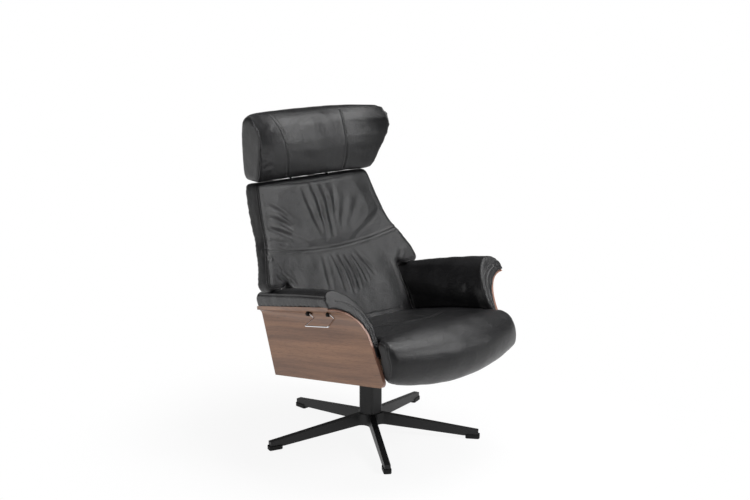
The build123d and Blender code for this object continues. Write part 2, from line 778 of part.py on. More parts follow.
def headrest_guide(shell):
    """A moulded block with two bores, let into the cushion and seated on the shell."""
    guide = headrest_guide_block() - shell
    guide = max(guide.solids(), key=lambda solid: solid.volume)
    for x in (-POST_CENTRE, POST_CENTRE):
        bore = bar_z(POST_RADIUS + RUNNING_GAP, -GUIDE_LENGTH, GUIDE_LENGTH, x)
        guide -= GUIDE * bore
    return guide


def post_channels():
    """Clearance around the two posts, their travel included."""
    channels = []
    for x in (-POST_CENTRE, POST_CENTRE):
        channels.append(POSTS * bar_z(POST_RADIUS + 2.5, -POST_DROP - 3, 60, x))
    return channels


def back_half(z):
    """Half the back's width at a height above the wings' lower edge."""
    middle_z = between(BACK_SHOULDER_Z, BACK_TOP, 0.42)
    middle = between(BACK_SHOULDER, BACK_TOP_HALF, 0.62)
    if z < BACK_SHOULDER_Z:
        return slope(BACK_WING_LOW, BACK_SHOULDER - 14, BACK_SHOULDER_Z, BACK_SHOULDER, z)
    if z < middle_z:
        return slope(BACK_SHOULDER_Z, BACK_SHOULDER, middle_z, middle, z)
    return slope(middle_z, middle, BACK_TOP, BACK_TOP_HALF - 3, z)


def pillow_section(z, half, inset):
    """A level section of the back cushion: hollow front, rounded edges, deep rear."""
    radius = BACK_EDGE
    depth = back_line(z) + inset
    edge = depth - back_sag(z) * (half - radius) ** 2
    rear = depth - back_sag(z) * half**2 + BACK_CUSHION + 30
    nook = radius * (1 - cos(radians(45)))
    corner = (half - radius, edge, z)
    turn = (half - nook, edge + nook, z)
    side = (half, edge + radius, z)
    far = (half, rear, z)
    corner_2, turn_2, side_2, far_2 = [(-x, y, z) for x, y, z in (corner, turn, side, far)]
    return Wire(
        [
            ThreePointArc(corner_2, (0, depth + BACK_HOLLOW, z), corner),
            ThreePointArc(corner, turn, side),
            Line(side, far),
            Line(far, far_2),
            Line(far_2, side_2),
            ThreePointArc(side_2, turn_2, corner_2),
        ]
    )


def seam_band(width, depth):
    """The V-shaped seam as a channel of one width, cut to a depth behind the front face."""
    reach = BACK_SHOULDER + 5
    middle_low, end_low = SEAM_Z - width / 2, SEAM_Z + SEAM_RISE - width / 2
    middle_high, end_high = SEAM_Z + width / 2, SEAM_Z + SEAM_RISE + width / 2
    lower = ThreePointArc((-reach, -200, end_low), (0, -200, middle_low), (reach, -200, end_low))
    upper = ThreePointArc(
        (reach, -200, end_high), (0, -200, middle_high), (-reach, -200, end_high)
    )
    ends = [Line(lower @ 1, upper @ 0), Line(upper @ 1, lower @ 0)]
    band = extrude(make_face([lower, ends[0], upper, ends[1]]), amount=WIDE, dir=(0, 1, 0))
    return band & back_layer(-20, depth)


def back_cushion():
    """The front cushion: rounded edges, a V seam, and let in for the headrest's posts."""
    low = [(BACK_LOW + 2, BACK_END / 2), (BACK_LOW + 14, 0), (BACK_WEBBED, 0), (BACK_WAIST, 0)]
    lower = Solid.make_loft([pillow_section(z, BACK_NECK, inset) for z, inset in low], ruled=True)
    wing = BACK_WING_LOW
    high = [(wing, BACK_END), (wing + 5, BACK_END / 3), (BACK_SHOULDER_Z, 0), (BACK_WAIST, 0)]
    high += [(between(BACK_SHOULDER_Z, BACK_TOP, 0.42), 0), (BACK_UPPER, 0)]
    high += [(between(BACK_UPPER, BACK_TOP, share), 0) for share in (0.43, 0.86)]
    high += [(BACK_TOP - 7, BACK_END / 3), (BACK_TOP, BACK_END)]
    sections = [pillow_section(z, back_half(z) - inset / 2, inset) for z, inset in high]
    cushion = (lower + Solid.make_loft(sections, ruled=True)) & back_layer(-30, BACK_CUSHION)
    cushion -= seam_band(SEAM_WIDTH, SEAM_DEPTH)
    cushion -= seam_band(3 * SEAM_WIDTH, SEAM_DEPTH / 3)
    cushion -= headrest_guide_block()
    for channel in post_channels():
        cushion -= channel
    return cushion


def back_shell():
    """The moulded plywood shell that carries the back."""
    layer = back_layer(BACK_CUSHION, BACK_CUSHION + BACK_SHELL)
    return layer & back_outline(SHELL_INSET, BACK_TOP)


def back_cover(shell, hardware):
    """The padded rear cover: it wraps the shell's edge and is let in for what is bolted on."""
    rear = BACK_CUSHION + BACK_SHELL + BACK_COVER
    cover = back_layer(BACK_CUSHION, rear) & back_outline(0, BACK_TOP)
    for piece in (shell, *hardware):
        cover -= piece
    return cover


def recline_tube():
    """The cross tube that the back turns on, with a journal at each end."""
    tube = bar_x(TUBE_RADIUS, -TUBE_HALF, TUBE_HALF, HINGE_Y, HINGE_Z)
    end = SHELL_BACK - 2
    return tube + bar_x(JOURNAL_RADIUS, -end, end, HINGE_Y, HINGE_Z)


def hinge_block_outside():
    """The left bearing block's outer shape."""
    outline = [
        (HINGE_Y - 22, RAIL_TOP),
        (HINGE_Y - 22, HINGE_Z + 8),
        (HINGE_Y - 12, HINGE_Z + 18),
        (HINGE_Y + 12, HINGE_Z + 18),
        (HINGE_Y + 22, HINGE_Z + 8),
        (HINGE_Y + 22, RAIL_TOP),
    ]
    return plate_x(outline, RAIL_INNER + 1, SHELL_BACK)


def hinge_block():
    """The left bearing block: it stands on the side rail and holds the tube's journal."""
    bore = JOURNAL_RADIUS + RUNNING_GAP
    return hinge_block_outside() - bar_x(bore, RAIL_INNER, SHELL_BACK + 1, HINGE_Y, HINGE_Z)


BRACKET_FOOT_LOW = 6
BRACKET_FOOT_WALL = 5


def bracket_place():
    """Where the left bracket's foot lies: on the shell's rear face, low down."""
    depth = BACK_CUSHION + BACK_SHELL
    low_y, high_y = back_line(BACK_LOW) + depth, back_line(BACK_WEBBED) + depth
    lean = degrees(atan2(high_y - low_y, BACK_WEBBED - BACK_LOW))
    return Pos(BRACKET_CENTRE, low_y, BACK_LOW) * Rot(-lean, 0, 0)


def bracket_bolts():
    """Four round head bolts through each bracket's foot into the shell."""
    rows = (BRACKET_BOLT_ENDS, BRACKET_FOOT_LENGTH - BRACKET_BOLT_ENDS)
    bolts = []
    for x in (-BRACKET_BOLT_ACROSS, BRACKET_BOLT_ACROSS):
        for z in [BRACKET_FOOT_LOW + row for row in rows]:
            head = bar_y(5, BRACKET_FOOT_WALL, BRACKET_FOOT_WALL + 3, x, z)
            bolt = head + bar_y(BASE_BOLT_RADIUS, -7, BRACKET_FOOT_WALL, x, z)
            bolts += both_sides(bracket_place() * bolt)
    return Compound([solid for bolt in bolts for solid in bolt.solids()])


def back_bracket(shell):
    """A steel bracket from the cross tube to the shell's rear face."""
    depth = BACK_CUSHION + BACK_SHELL
    low_y, high_y = back_line(BACK_LOW) + depth, back_line(BACK_WEBBED) + depth
    half = BRACKET_FOOT_WIDTH / 2
    height = (BRACKET_FOOT_LOW, BRACKET_FOOT_LOW + BRACKET_FOOT_LENGTH)
    foot = bracket_place() * block((-half, half), (-4, BRACKET_FOOT_WALL), height)
    web_points = [
        (low_y + 2, BACK_LOW + 10),
        (HINGE_Y - 6, HINGE_Z - 20),
        (HINGE_Y + 16, HINGE_Z - 14),
        (HINGE_Y + 20, HINGE_Z + 6),
        (between(low_y, high_y, 0.85) + 2, BACK_LOW + BRACKET_FOOT_LENGTH),
    ]
    wall = BRACKET_WALL / 2
    web = plate_x(web_points, BRACKET_CENTRE - wall, BRACKET_CENTRE + wall)
    bracket = foot + web - bar_x(TUBE_RADIUS, 0, TUBE_HALF, HINGE_Y, HINGE_Z)
    return max((bracket - shell).solids(), key=lambda solid: solid.volume)


def gas_lever():
    """Two lever plates welded under the tube, with the pin that the rod's eye takes."""
    reach = hypot(EYE_Y - HINGE_Y, EYE_Z - HINGE_Z)
    swing = degrees(atan2(EYE_Y - HINGE_Y, HINGE_Z - EYE_Z))
    plates = bar_x(PIN_RADIUS, -14, 14, EYE_Y, EYE_Z)
    for side in (-1, 1):
        x = (side * 11 - LEVER_WALL / 2, side * 11 + LEVER_WALL / 2)
        flat = block(x, (-9, 9), (-reach, 0))
        nose = bar_x(9, *x, 0, -reach)
        root = bar_x(18, *x, 0, 0)
        plates += Pos(0, HINGE_Y, HINGE_Z) * Rot(swing, 0, 0) * (flat + nose + root)
    return plates - bar_x(TUBE_RADIUS, -30, 30, HINGE_Y, HINGE_Z)


# ---- gas spring ----
def gas_cylinder():
    """The locking gas spring's cylinder, with the head that its rod leaves."""
    body = bar_y(GAS_RADIUS, GAS_FRONT, GAS_REAR, 0, GAS_Z)
    body = fillet(body.edges(), 1.5)
    return body - bar_y(ROD_RADIUS + RUNNING_GAP, GAS_REAR - 60, GAS_REAR + 1, 0, GAS_Z)


def gas_rod():
    """The rod and its eye. The eye has play, for the lever pin's small rise and fall."""
    rod = bar_y(ROD_RADIUS, GAS_REAR - ROD_TRAVEL + 6, EYE_Y - 6, 0, GAS_Z)
    eye = bar_x(EYE_RADIUS, -7, 7, EYE_Y, GAS_Z)
    return rod + eye - bar_x(PIN_RADIUS + EYE_PLAY, -8, 8, EYE_Y, GAS_Z)


def gas_anchor():
    """The block that holds the cylinder's front end on a pin between the channels."""
    body = block((-12, 12), (GAS_FRONT - ANCHOR_LENGTH, GAS_FRONT), (GAS_Z - 9, GAS_Z + 9))
    span = CHANNEL_CENTRE - CHANNEL_WIDTH / 2 + CHANNEL_WALL
    return body + bar_x(PIN_RADIUS, -span, span, ANCHOR_Y, GAS_Z)


# ---- headrest ----
def headrest_posts():
    """Two steel posts under a barrel that the headrest tilts on, in the seat frame."""
    end = POST_CENTRE + 12
    posts = bar_x(BARREL_RADIUS, -end, end, 0, 0)
    for x in (-POST_CENTRE, POST_CENTRE):
        posts += bar_z(POST_RADIUS, -POST_DROP, 0, x)
    posts -= bar_x(HEAD_PIN_RADIUS + RUNNING_GAP, -end - 1, end + 1, 0, 0)
    return POSTS * posts


def headrest_plate():
    """The steel plate inside the headrest, with a knuckle and pin each side, floor frame."""
    y, z = HEAD_HINGE
    face = y + BARREL_RADIUS + 3
    x = (-HEAD_PLATE_HALF, HEAD_PLATE_HALF)
    plate = block(x, (face, face + HEAD_PLATE_WALL), (z - 6, HEAD_PLATE_TOP))
    end = POST_CENTRE + 12.5
    for side in (-1, 1):
        low, high = sorted((side * end, side * HEAD_PLATE_HALF))
        arm = block((low, high), (y, face + 1), (z - 6, z + 6))
        plate += arm + bar_x(BARREL_RADIUS, low, high, y, z)
    return plate + bar_x(HEAD_PIN_RADIUS, -end - 1, end + 1, y, z)


HEAD_SHARES = (0, 0.03, 0.1, 0.25, 0.4, 0.55, 0.7, 0.8, 0.9, 0.97, 1)
HEAD_LEVELS = [between(HEAD_LOW, HEAD_TOP, share) for share in HEAD_SHARES]


def head_front(z, inset):
    """The headrest's front face at a height: its points across, in the floor frame."""
    rise = (z - HEAD_LOW) / (HEAD_TOP - HEAD_LOW)
    wing = HEAD_HALF - 38 * (1 - rise) ** 1.5
    tip = 271 - 66 * sin(radians(min(rise * 1.25, 1) * 90)) + 44 * max(rise - 0.8, 0) / 0.2
    middle = 277 - 14 * sin(radians(180 * min(rise / 0.7, 1))) + 62 * max(rise - 0.55, 0) ** 2 / 0.2
    wing, tip, middle = wing - inset, tip + inset, middle + inset
    across = [(-wing, tip), (-136, middle + 2), (0, middle), (136, middle + 2), (wing, tip)]
    return [(x, y, z) for x, y in across]


def head_section(z, inset=0):
    """A level slice of the winged headrest, in the floor frame."""
    rise = (z - HEAD_LOW) / (HEAD_TOP - HEAD_LOW)
    rear = 388 + 8 * sin(radians(180 * rise)) - 0.3 * inset
    edge = 355 - 52 * rise - inset
    ahead = head_front(z, inset)
    side = ahead[-1][0] - 6
    across = [(side, edge), (150, rear - 8), (0, rear), (-150, rear - 8), (-side, edge)]
    behind = [(x, y, z) for x, y in across]
    sides = [Line(ahead[-1], behind[0]), Line(behind[-1], ahead[0])]
    return Wire([Spline(*ahead), sides[0], Spline(*behind), sides[1]])


def head_seam():
    """The left seam of the headrest's face as a narrow channel."""
    skins = []
    for z in HEAD_LEVELS:
        near = [(x, y - 30, z) for x, y, z in head_front(z, 0)]
        deep = [(x, y + HEAD_SEAM_DEPTH, z) for x, y, z in reversed(head_front(z, 0))]
        sides = [Line(near[-1], deep[0]), Line(deep[-1], near[0])]
        skins.append(Wire([Spline(*near), sides[0], Spline(*deep), sides[1]]))
    skin = Solid.make_loft(skins, ruled=True)
    half = HEAD_SEAM_WIDTH / 2
    line = [(x, 0, z) for x, z in HEAD_SEAM]
    low = [(x - half, y, z) for x, y, z in line]
    high = [(x + half, y, z) for x, y, z in reversed(line)]
    band = extrude(make_face(Polyline(*low, *high, close=True)), amount=WIDE, dir=(0, 1, 0))
    return skin & band


def headrest_cushion(plate):
    """The winged cushion, with a pocket for the posts and the tilt hinge."""
    ends = (HEAD_EDGE, 0.3 * HEAD_EDGE)
    insets = [*ends, *[0 for _ in HEAD_LEVELS[2:-2]], *reversed(ends)]
    sections = [head_section(z, inset) for z, inset in zip(HEAD_LEVELS, insets)]
    cushion = Solid.make_loft(sections, ruled=True)
    for seam in both_sides(head_seam()):
        cushion -= seam
    y, z = HEAD_HINGE
    cushion -= block((-POST_CENTRE - 13, POST_CENTRE + 13), (y - 31, y + 13), (HEAD_LOW - 40, z))
    cushion -= bar_x(13, -POST_CENTRE - 13, POST_CENTRE + 13, y, z)
    return cushion - plate


# ---- release handle, in the seat frame ----
HANDLE_PIVOT_X = -shell_face(HANDLE_FRONT + HANDLE_SPACING / 2, HANDLE_PIVOT_Z) - HANDLE_STANDOFF


def handle_path(first):
    """The wire's corners from its front pivot end round to the rear one."""
    x, y, z = HANDLE_PIVOT_X, HANDLE_FRONT, HANDLE_PIVOT_Z
    elbow = (x + HANDLE_LEG[0], y + HANDLE_LEG[1], z + HANDLE_LEG[2])
    low = elbow[2] - HANDLE_DROP
    return [
        (x, y + first, z),
        (x, y, z),
        elbow,
        (x - HANDLE_OUT, elbow[1] - HANDLE_SPLAY, low),
        (x - HANDLE_OUT, elbow[1] + HANDLE_SPACING + HANDLE_SPLAY, low),
        (x, elbow[1] + HANDLE_SPACING, elbow[2]),
        (x, y + HANDLE_SPACING, z),
        (x, y + HANDLE_SPACING + first, z),
    ]


def release_handle():
    """The chrome wire handle, bent from one piece, its ends turned along the pivot axis."""
    points = handle_path(9)
    path = FilletPolyline(*points, radius=HANDLE_BEND)
    start = Plane(origin=points[0], z_dir=path % 0)
    return sweep(start * Circle(HANDLE_WIRE), path=path)


def handle_eyelets(shell):
    """Two black eyelets let into the shell, which hold the handle's ends."""
    eyelets = []
    for y in (HANDLE_FRONT + 6, HANDLE_FRONT + HANDLE_SPACING + 6):
        body = bar_y(EYELET_RADIUS, y, y + 8, HANDLE_PIVOT_X, HANDLE_PIVOT_Z)
        stem = Pos(HANDLE_PIVOT_X + 12, y + 4, HANDLE_PIVOT_Z) * Box(24, 8, 8)
        eyelet = body + stem
        eyelet -= bar_y(HANDLE_WIRE + RUNNING_GAP, y - 1, y + 9, HANDLE_PIVOT_X, HANDLE_PIVOT_Z)
        eyelets.append(eyelet)
    return eyelets


# ---- the chair ----
def build():
    """Every piece by name, in the frame of the whole chair."""
    left_shell, right_shell = both_sides(side_shell())
    block_left, block_right = both_sides(hinge_block())
    pad_left, pad_right = both_sides(arm_pad(left_shell))
    eyelets = handle_eyelets(right_shell)
    for eyelet in eyelets:
        right_shell -= eyelet
        pad_right -= eyelet
    channel_left, channel_right = both_sides(support_channel())
    rail_left, rail_right = both_sides(side_rail())
    back_bolts = bracket_bolts()
    brackets = [bracket - back_bolts for bracket in both_sides(back_bracket(back_shell()))]
    shell = back_shell() - back_bolts
    plate = headrest_plate()

    floor_pieces = {
        "star_base": star_base(),
        "column": column(),
        "base_bolts": base_bolts(),
        "upper_bush": bush(UPPER_BUSH_LOW, True),
        "lower_bush": bush(LOWER_BUSH_LOW, False),
        "thrust_washer": thrust_washer(),
        "swivel_spindle": swivel_spindle(),
        "retaining_clip": retaining_clip(),
        "headrest_plate": plate,
        "headrest_cushion": headrest_cushion(plate),
    }
    for number, place in enumerate(glide_places(), 1):
        floor_pieces[f"floor_glide_{number}"] = place * floor_glide()

    seat_pieces = {
        "swivel_plate": swivel_plate(),
        "plate_bolts": plate_bolts(),
        "support_channel_left": channel_left,
        "support_channel_right": channel_right,
        "side_rail_left": rail_left,
        "side_rail_right": rail_right,
        "front_rail": cross_rail(FRAME_FRONT),
        "rear_rail": cross_rail(FRAME_REAR - CROSS_RAIL_WALL),
        "seat_webbing": seat_webbing(),
        "dust_cover": dust_cover(),
        "side_shell_left": left_shell,
        "side_shell_right": right_shell,
        "shell_screws": shell_screws(),
        "arm_pad_left": pad_left,
        "arm_pad_right": pad_right,
        "seat_cushion": seat_cushion((left_shell, right_shell), (pad_left, pad_right)),
        "hinge_block_left": block_left,
        "hinge_block_right": block_right,
        "gas_cylinder": gas_cylinder(),
        "gas_anchor": gas_anchor(),
        "gas_rod": gas_rod(),
        "handle_eyelets": Compound([solid for e in eyelets for solid in e.solids()]),
        "release_handle": release_handle(),
        "recline_tube": recline_tube(),
        "gas_lever": gas_lever(),
        "back_bracket_left": brackets[0],
        "back_bracket_right": brackets[1],
        "bracket_bolts": back_bolts,
        "back_shell": shell,
        "back_cushion": back_cushion(),
        "back_cover": back_cover(back_shell(), (*brackets, back_bolts)),
        "headrest_guide": headrest_guide(shell),
        "headrest_posts": headrest_posts(),
    }
    chair = {name: FLOOR * piece for name, piece in floor_pieces.items()}
    chair.update({name: SEAT * piece for name, piece in seat_pieces.items()})
    return chair


os.makedirs("parts", exist_ok=True)
for node, piece in build().items():
    export_step(piece, f"parts/{node}.step")
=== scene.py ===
"""Star base swivel recliner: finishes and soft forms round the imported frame.

The chair stands in the frame's own axes: X to the sitter's left, Y to the rear, Z up, in metres.
The seat, the side shells and the back are square to a seat frame that is leaned back about X.
Places in that seat frame are written in millimetres and turned into metres by from_seat().
"""

import json
import math

import bmesh
import bpy
import numpy as np
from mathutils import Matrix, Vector, noise
from mathutils.bvhtree import BVHTree

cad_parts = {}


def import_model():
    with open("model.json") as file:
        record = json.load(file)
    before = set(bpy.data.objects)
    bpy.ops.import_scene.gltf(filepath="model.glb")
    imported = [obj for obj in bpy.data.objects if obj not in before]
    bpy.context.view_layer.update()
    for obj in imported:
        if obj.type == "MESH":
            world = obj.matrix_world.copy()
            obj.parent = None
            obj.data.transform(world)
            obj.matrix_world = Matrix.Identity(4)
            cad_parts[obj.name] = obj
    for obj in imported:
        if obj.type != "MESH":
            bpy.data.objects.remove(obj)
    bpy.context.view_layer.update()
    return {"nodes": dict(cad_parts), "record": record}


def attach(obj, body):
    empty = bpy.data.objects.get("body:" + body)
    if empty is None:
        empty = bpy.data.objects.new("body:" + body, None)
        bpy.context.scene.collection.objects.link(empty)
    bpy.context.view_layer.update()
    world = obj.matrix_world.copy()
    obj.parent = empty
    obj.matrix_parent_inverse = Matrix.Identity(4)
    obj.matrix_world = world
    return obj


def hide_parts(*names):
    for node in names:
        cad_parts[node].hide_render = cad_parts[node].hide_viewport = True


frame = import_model()
nodes = frame["nodes"]

SEAT_TILT = math.radians(10.5)
AXIS_SETBACK = 38
COS, SIN = math.cos(SEAT_TILT), math.sin(SEAT_TILT)
MM = 0.001
TINY = 1e-9  # stands for a length of nothing where it would divide
WELD = 0.00002  # corners of a CAD node's triangles that are closer than this are one
SIDES = (-1, 1)


# ---- places ----
def from_seat(points):
    """Seat frame points in millimetres, as chair points in metres."""
    x, y, z = np.atleast_2d(np.array(points, float)).T
    return np.column_stack([x, AXIS_SETBACK + y * COS + z * SIN, z * COS - y * SIN]) * MM


def to_metres_step(way):
    """A step in the seat frame, given in millimetres, as a step of the chair in metres."""
    return from_seat(way)[0] - from_seat((0, 0, 0))[0]


def to_seat(points):
    """Chair points in metres, as seat frame points in millimetres."""
    x, y, z = np.atleast_2d(points).T / MM
    y = y - AXIS_SETBACK
    return np.column_stack([x, y * COS - z * SIN, y * SIN + z * COS])


def from_floor(points):
    """Points over the floor in millimetres from the swivel axis, as chair points in metres."""
    return (np.atleast_2d(np.array(points, float)) + (0, AXIS_SETBACK, 0)) * MM


def smooth_line(points, step=4 * MM):
    """A smooth line through points, with a point about every step."""
    points = np.array(points, float)
    ends = [2 * points[0] - points[1], *points, 2 * points[-1] - points[-2]]
    line = []
    for a, b, c, d in zip(ends[:-3], ends[1:-2], ends[2:-1], ends[3:]):
        count = max(int(np.linalg.norm(c - b) / step), 1)
        for t in np.linspace(0, 1, count, endpoint=False):
            line.append(0.5 * (2 * b + (c - a) * t + (2 * a - 5 * b + 4 * c - d) * t**2
                               + (3 * b - a - 3 * c + d) * t**3))
    return np.array([*line, points[-1]])


def along_line(points, line, reach):
    """How far each point is from a line, up to a reach, and how far along it lies."""
    gap = np.full(len(points), np.inf)
    place = np.zeros(len(points))
    in_reach = np.all((points > line.min(0) - reach) & (points < line.max(0) + reach), axis=1)
    near = np.flatnonzero(in_reach)
    run = 0.0
    for start, end in zip(line[:-1], line[1:]):
        way = end - start
        length = max(np.linalg.norm(way), TINY)
        low, high = np.minimum(start, end) - reach, np.maximum(start, end) + reach
        close = near[np.all((points[near] > low) & (points[near] < high), axis=1)]
        share = np.clip((points[close] - start) @ way / length**2, 0, 1)
        distance = np.linalg.norm(points[close] - start - share[:, None] * way, axis=1)
        closer = distance < gap[close]
        gap[close[closer]] = distance[closer]
        place[close[closer]] = run + share[closer] * length
        run += length
    return gap, place, run


def eased(line, times=6):
    """A line with its small kinks smoothed out and its ends kept."""
    line = np.array(line)
    for _ in range(times):
        line[1:-1] = 0.25 * line[:-2] + 0.5 * line[1:-1] + 0.25 * line[2:]
    return line


def ramp(values, start, end):
    """0 before start and 1 beyond end, with an even rise between."""
    return np.clip((values - start) / (end - start), 0, 1)


# ---- shader maths ----
MIX_SHARE, MIX_LOW, MIX_HIGH, MIX_RESULT = 0, 6, 7, 2  # a Mix node's sockets for colours
WHITE = (1, 1, 1, 1)


class Value:
    """A shader socket that plain arithmetic works on."""

    def __init__(self, shading, socket):
        self.shading = shading
        self.socket = socket

    def maths(self, operation, *values):
        inputs = dict(enumerate(values))
        return self.shading.node("ShaderNodeMath", {"operation": operation}, inputs)

    def __add__(self, other):
        return self.maths("ADD", self, other)

    def __sub__(self, other):
        return self.maths("SUBTRACT", self, other)

    def __rsub__(self, other):
        return self.maths("SUBTRACT", other, self)

    def __mul__(self, other):
        return self.maths("MULTIPLY", self, other)

    __radd__ = __add__
    __rmul__ = __mul__

    def size(self):
        return self.maths("ABSOLUTE", self)

    def wave(self):
        return self.maths("SINE", self)

    def root(self):
        return self.maths("SQRT", self)

    def step(self, low, high):
        """0 below low and 1 above high, with a smooth rise between."""
        settings = {"interpolation_type": "SMOOTHSTEP"}
        inputs = {"Value": self, "From Min": low, "From Max": high}
        return self.shading.node("ShaderNodeMapRange", settings, inputs)


class Shading:
    """The nodes of one tree, which all come from one method."""

    def __init__(self, tree):
        self.tree = tree

    def node(self, kind, settings=None, inputs=None, output=0):
        made = self.tree.nodes.new(kind)
        for key, value in (settings or {}).items():
            setattr(made, key, value)
        for key, value in (inputs or {}).items():
            self.join(value, made.inputs[key])
        return Value(self, made.outputs[output])

    def join(self, value, socket):
        if isinstance(value, Value):
            self.tree.links.new(value.socket, socket)
        else:
            socket.default_value = value

    def show(self, shader, output):
        """Gives the tree's output its shader."""
        self.join(shader, self.tree.nodes[output].inputs["Surface"])

    def place(self, output="Object"):
        return self.node("ShaderNodeTexCoord", output=output)

    def parts(self, vector):
        return [self.node("ShaderNodeSeparateXYZ", None, {0: vector}, axis) for axis in range(3)]

    def join_parts(self, x, y, z):
        return self.node("ShaderNodeCombineXYZ", None, {"X": x, "Y": y, "Z": z})

    def noise(self, vector, scale, detail=2.0, roughness=0.5, distortion=0.0):
        inputs = {"Vector": vector, "Scale": scale, "Detail": detail, "Roughness": roughness,
                  "Distortion": distortion}
        return self.node("ShaderNodeTexNoise", None, inputs)

    def noise_colour(self, vector, scale):
        inputs = {"Vector": vector, "Scale": scale}
        return self.node("ShaderNodeTexNoise", None, inputs, "Color")

    def cells(self, vector, scale):
        return self.node("ShaderNodeTexVoronoi", {"feature": "DISTANCE_TO_EDGE"},
                         {"Vector": vector, "Scale": scale})

    def blend(self, share, low, high):
        """A colour or a place between two others."""
        inputs = {MIX_SHARE: share, MIX_LOW: low, MIX_HIGH: high}
        return self.node("ShaderNodeMix", {"data_type": "RGBA"}, inputs, MIX_RESULT)

    def tint(self, share, low, high):
        """A colour between two others, each a link or three numbers."""
        return self.blend(share, shade(low), shade(high))

    def bump(self, height, depth):
        """A bump whose height of 1 stands for a depth in metres."""
        return self.node("ShaderNodeBump", None, {"Height": height, "Distance": depth})


class Finish(Shading):
    """One surface finish: a material and its shader."""

    def __init__(self, name):
        self.material = bpy.data.materials.new(name)
        self.material.use_nodes = True
        super().__init__(self.material.node_tree)
        self.shader = self.tree.nodes["Principled BSDF"]

    def set(self, **sockets):
        """Gives the shader its sockets, by their names with an underscore for each space."""
        for name, value in sockets.items():
            self.join(value, self.shader.inputs[name.replace("_", " ")])
        return self.material


def shade(colour):
    """A colour as a socket takes it: a link, or three numbers with an alpha."""
    return colour if isinstance(colour, Value) else (*colour, 1.0)


# ---- finishes ----
SHELL_LOW_EDGE = 0.272  # height of the side shells' lower edge, in the seat frame


def black_leather():
    """Pigmented black cowhide: pebbled grain, soft rumples, duller seams with painted shade in
    them.
    """
    finish = Finish("black_leather")
    place = finish.place()
    seam = finish.node("ShaderNodeAttribute", {"attribute_name": "seam"}, output="Fac")
    cloudy = finish.noise(place, 14.0, 3.0)
    warp = finish.blend(0.003, place, finish.noise_colour(place, 90.0))
    pebbles = finish.cells(warp, 560.0).step(0.0, 0.32)
    pores = finish.noise(place, 2400.0, 1.0)
    rumples = finish.noise(place, 38.0, 3.0, 0.55, 1.2)
    worn = cloudy.step(0.35, 0.75)
    height = pebbles * 0.16 + pores * 0.05 + rumples * 1.0
    colour = finish.tint(worn, (0.0055, 0.0055, 0.0062), (0.0105, 0.0103, 0.0112))
    # painted shade: the colour darkens to near black in the seam grooves
    colour = finish.tint(seam, colour, (0.002, 0.002, 0.0022))
    roughness = 0.29 + cloudy * 0.08 - pebbles * 0.04 + seam * 0.2
    return finish.set(Base_Color=colour, Roughness=roughness, Normal=finish.bump(height, 0.0010),
                      Specular_IOR_Level=0.40)


def walnut_veneer():
    """Lacquered walnut plywood: streaks along the shell, fine pores, a redder edge with a painted
    highlight.
    """
    finish = Finish("walnut_veneer")
    turned = finish.node("ShaderNodeMapping", None,
                         {"Vector": finish.place(), "Rotation": (SEAT_TILT, 0, 0)})
    x, y, z = finish.parts(turned)
    normal = finish.node("ShaderNodeMapping", {"vector_type": "NORMAL"},
                         {"Vector": finish.place("Normal"), "Rotation": (SEAT_TILT, 0, 0)})
    _, facing_y, facing_z = finish.parts(normal)
    up = z + x.size()
    drift = finish.noise(finish.join_parts(x * 2.0, y * 1.6, up * 5.0), 1.0, 2.0)
    across = up + drift * 0.05
    broad = finish.noise(finish.join_parts(x * 2.0, y * 1.3, across * 34.0), 1.0, 4.0, 0.6)
    fine = finish.noise(finish.join_parts(x * 9.0, y * 6.0, across * 240.0), 1.0, 3.0, 0.6)
    pores = finish.noise(finish.join_parts(x * 30.0, y * 45.0, across * 1500.0), 1.0, 2.0)
    tone = broad.step(0.3, 0.7) * 0.75 + fine * 0.45 - 0.1
    colour = finish.tint(tone, (0.135, 0.059, 0.030), (0.345, 0.174, 0.092))
    colour = finish.tint(pores.step(0.56, 0.66) * 0.55, colour, (0.07, 0.034, 0.02))
    # the cut edges get ply layers in a redder, lighter tone, partly a painted highlight on the
    # lacquered edge
    underside = (SHELL_LOW_EDGE - z).step(0.0, 0.01) * facing_z.size()
    edge = (facing_y.size() + underside).step(0.45, 0.6)
    layers = finish.noise(finish.join_parts(x * 620.0, y * 6.0, z * 6.0), 1.0, 1.0)
    edge_layers_and_highlight = finish.tint(layers.step(0.4, 0.6), (0.20, 0.088, 0.055), (0.37, 0.205, 0.150))
    colour = finish.tint(edge, colour, edge_layers_and_highlight)
    roughness = 0.40 + fine * 0.12
    height = pores.step(0.5, 0.7) * -0.6 + fine * 0.4
    return finish.set(Base_Color=colour, Roughness=roughness, Normal=finish.bump(height, 0.00012),
                      Coat_Weight=0.35, Coat_Roughness=0.25)


def pale_timber(name, dark, light):
    """Plain timber with straight grain across the chair."""
    finish = Finish(name)
    x, y, z = finish.parts(finish.place())
    grain = finish.noise(finish.join_parts(x * 5.0, y * 260.0, z * 260.0), 1.0, 3.0, 0.6)
    flecks = finish.noise(finish.join_parts(x * 60.0, y * 900.0, z * 900.0), 1.0, 1.0)
    colour = finish.tint(grain * 0.8 + flecks * 0.2, dark, light)
    return finish.set(Base_Color=colour, Roughness=0.5 + grain * 0.15,
                      Normal=finish.bump(grain + flecks * 0.5, 0.0001))


def powder_coat():
    """Satin black powder coat with a fine orange peel."""
    finish = Finish("powder_coat")
    place = finish.place()
    peel = finish.noise(place, 420.0, 1.0)
    cloudy = finish.noise(place, 9.0, 3.0)
    colour = finish.tint(cloudy, (0.008, 0.008, 0.0085), (0.014, 0.014, 0.0145))
    return finish.set(Base_Color=colour, Roughness=0.42 + cloudy * 0.1,
                      Normal=finish.bump(peel, 0.00008), Specular_IOR_Level=0.35)


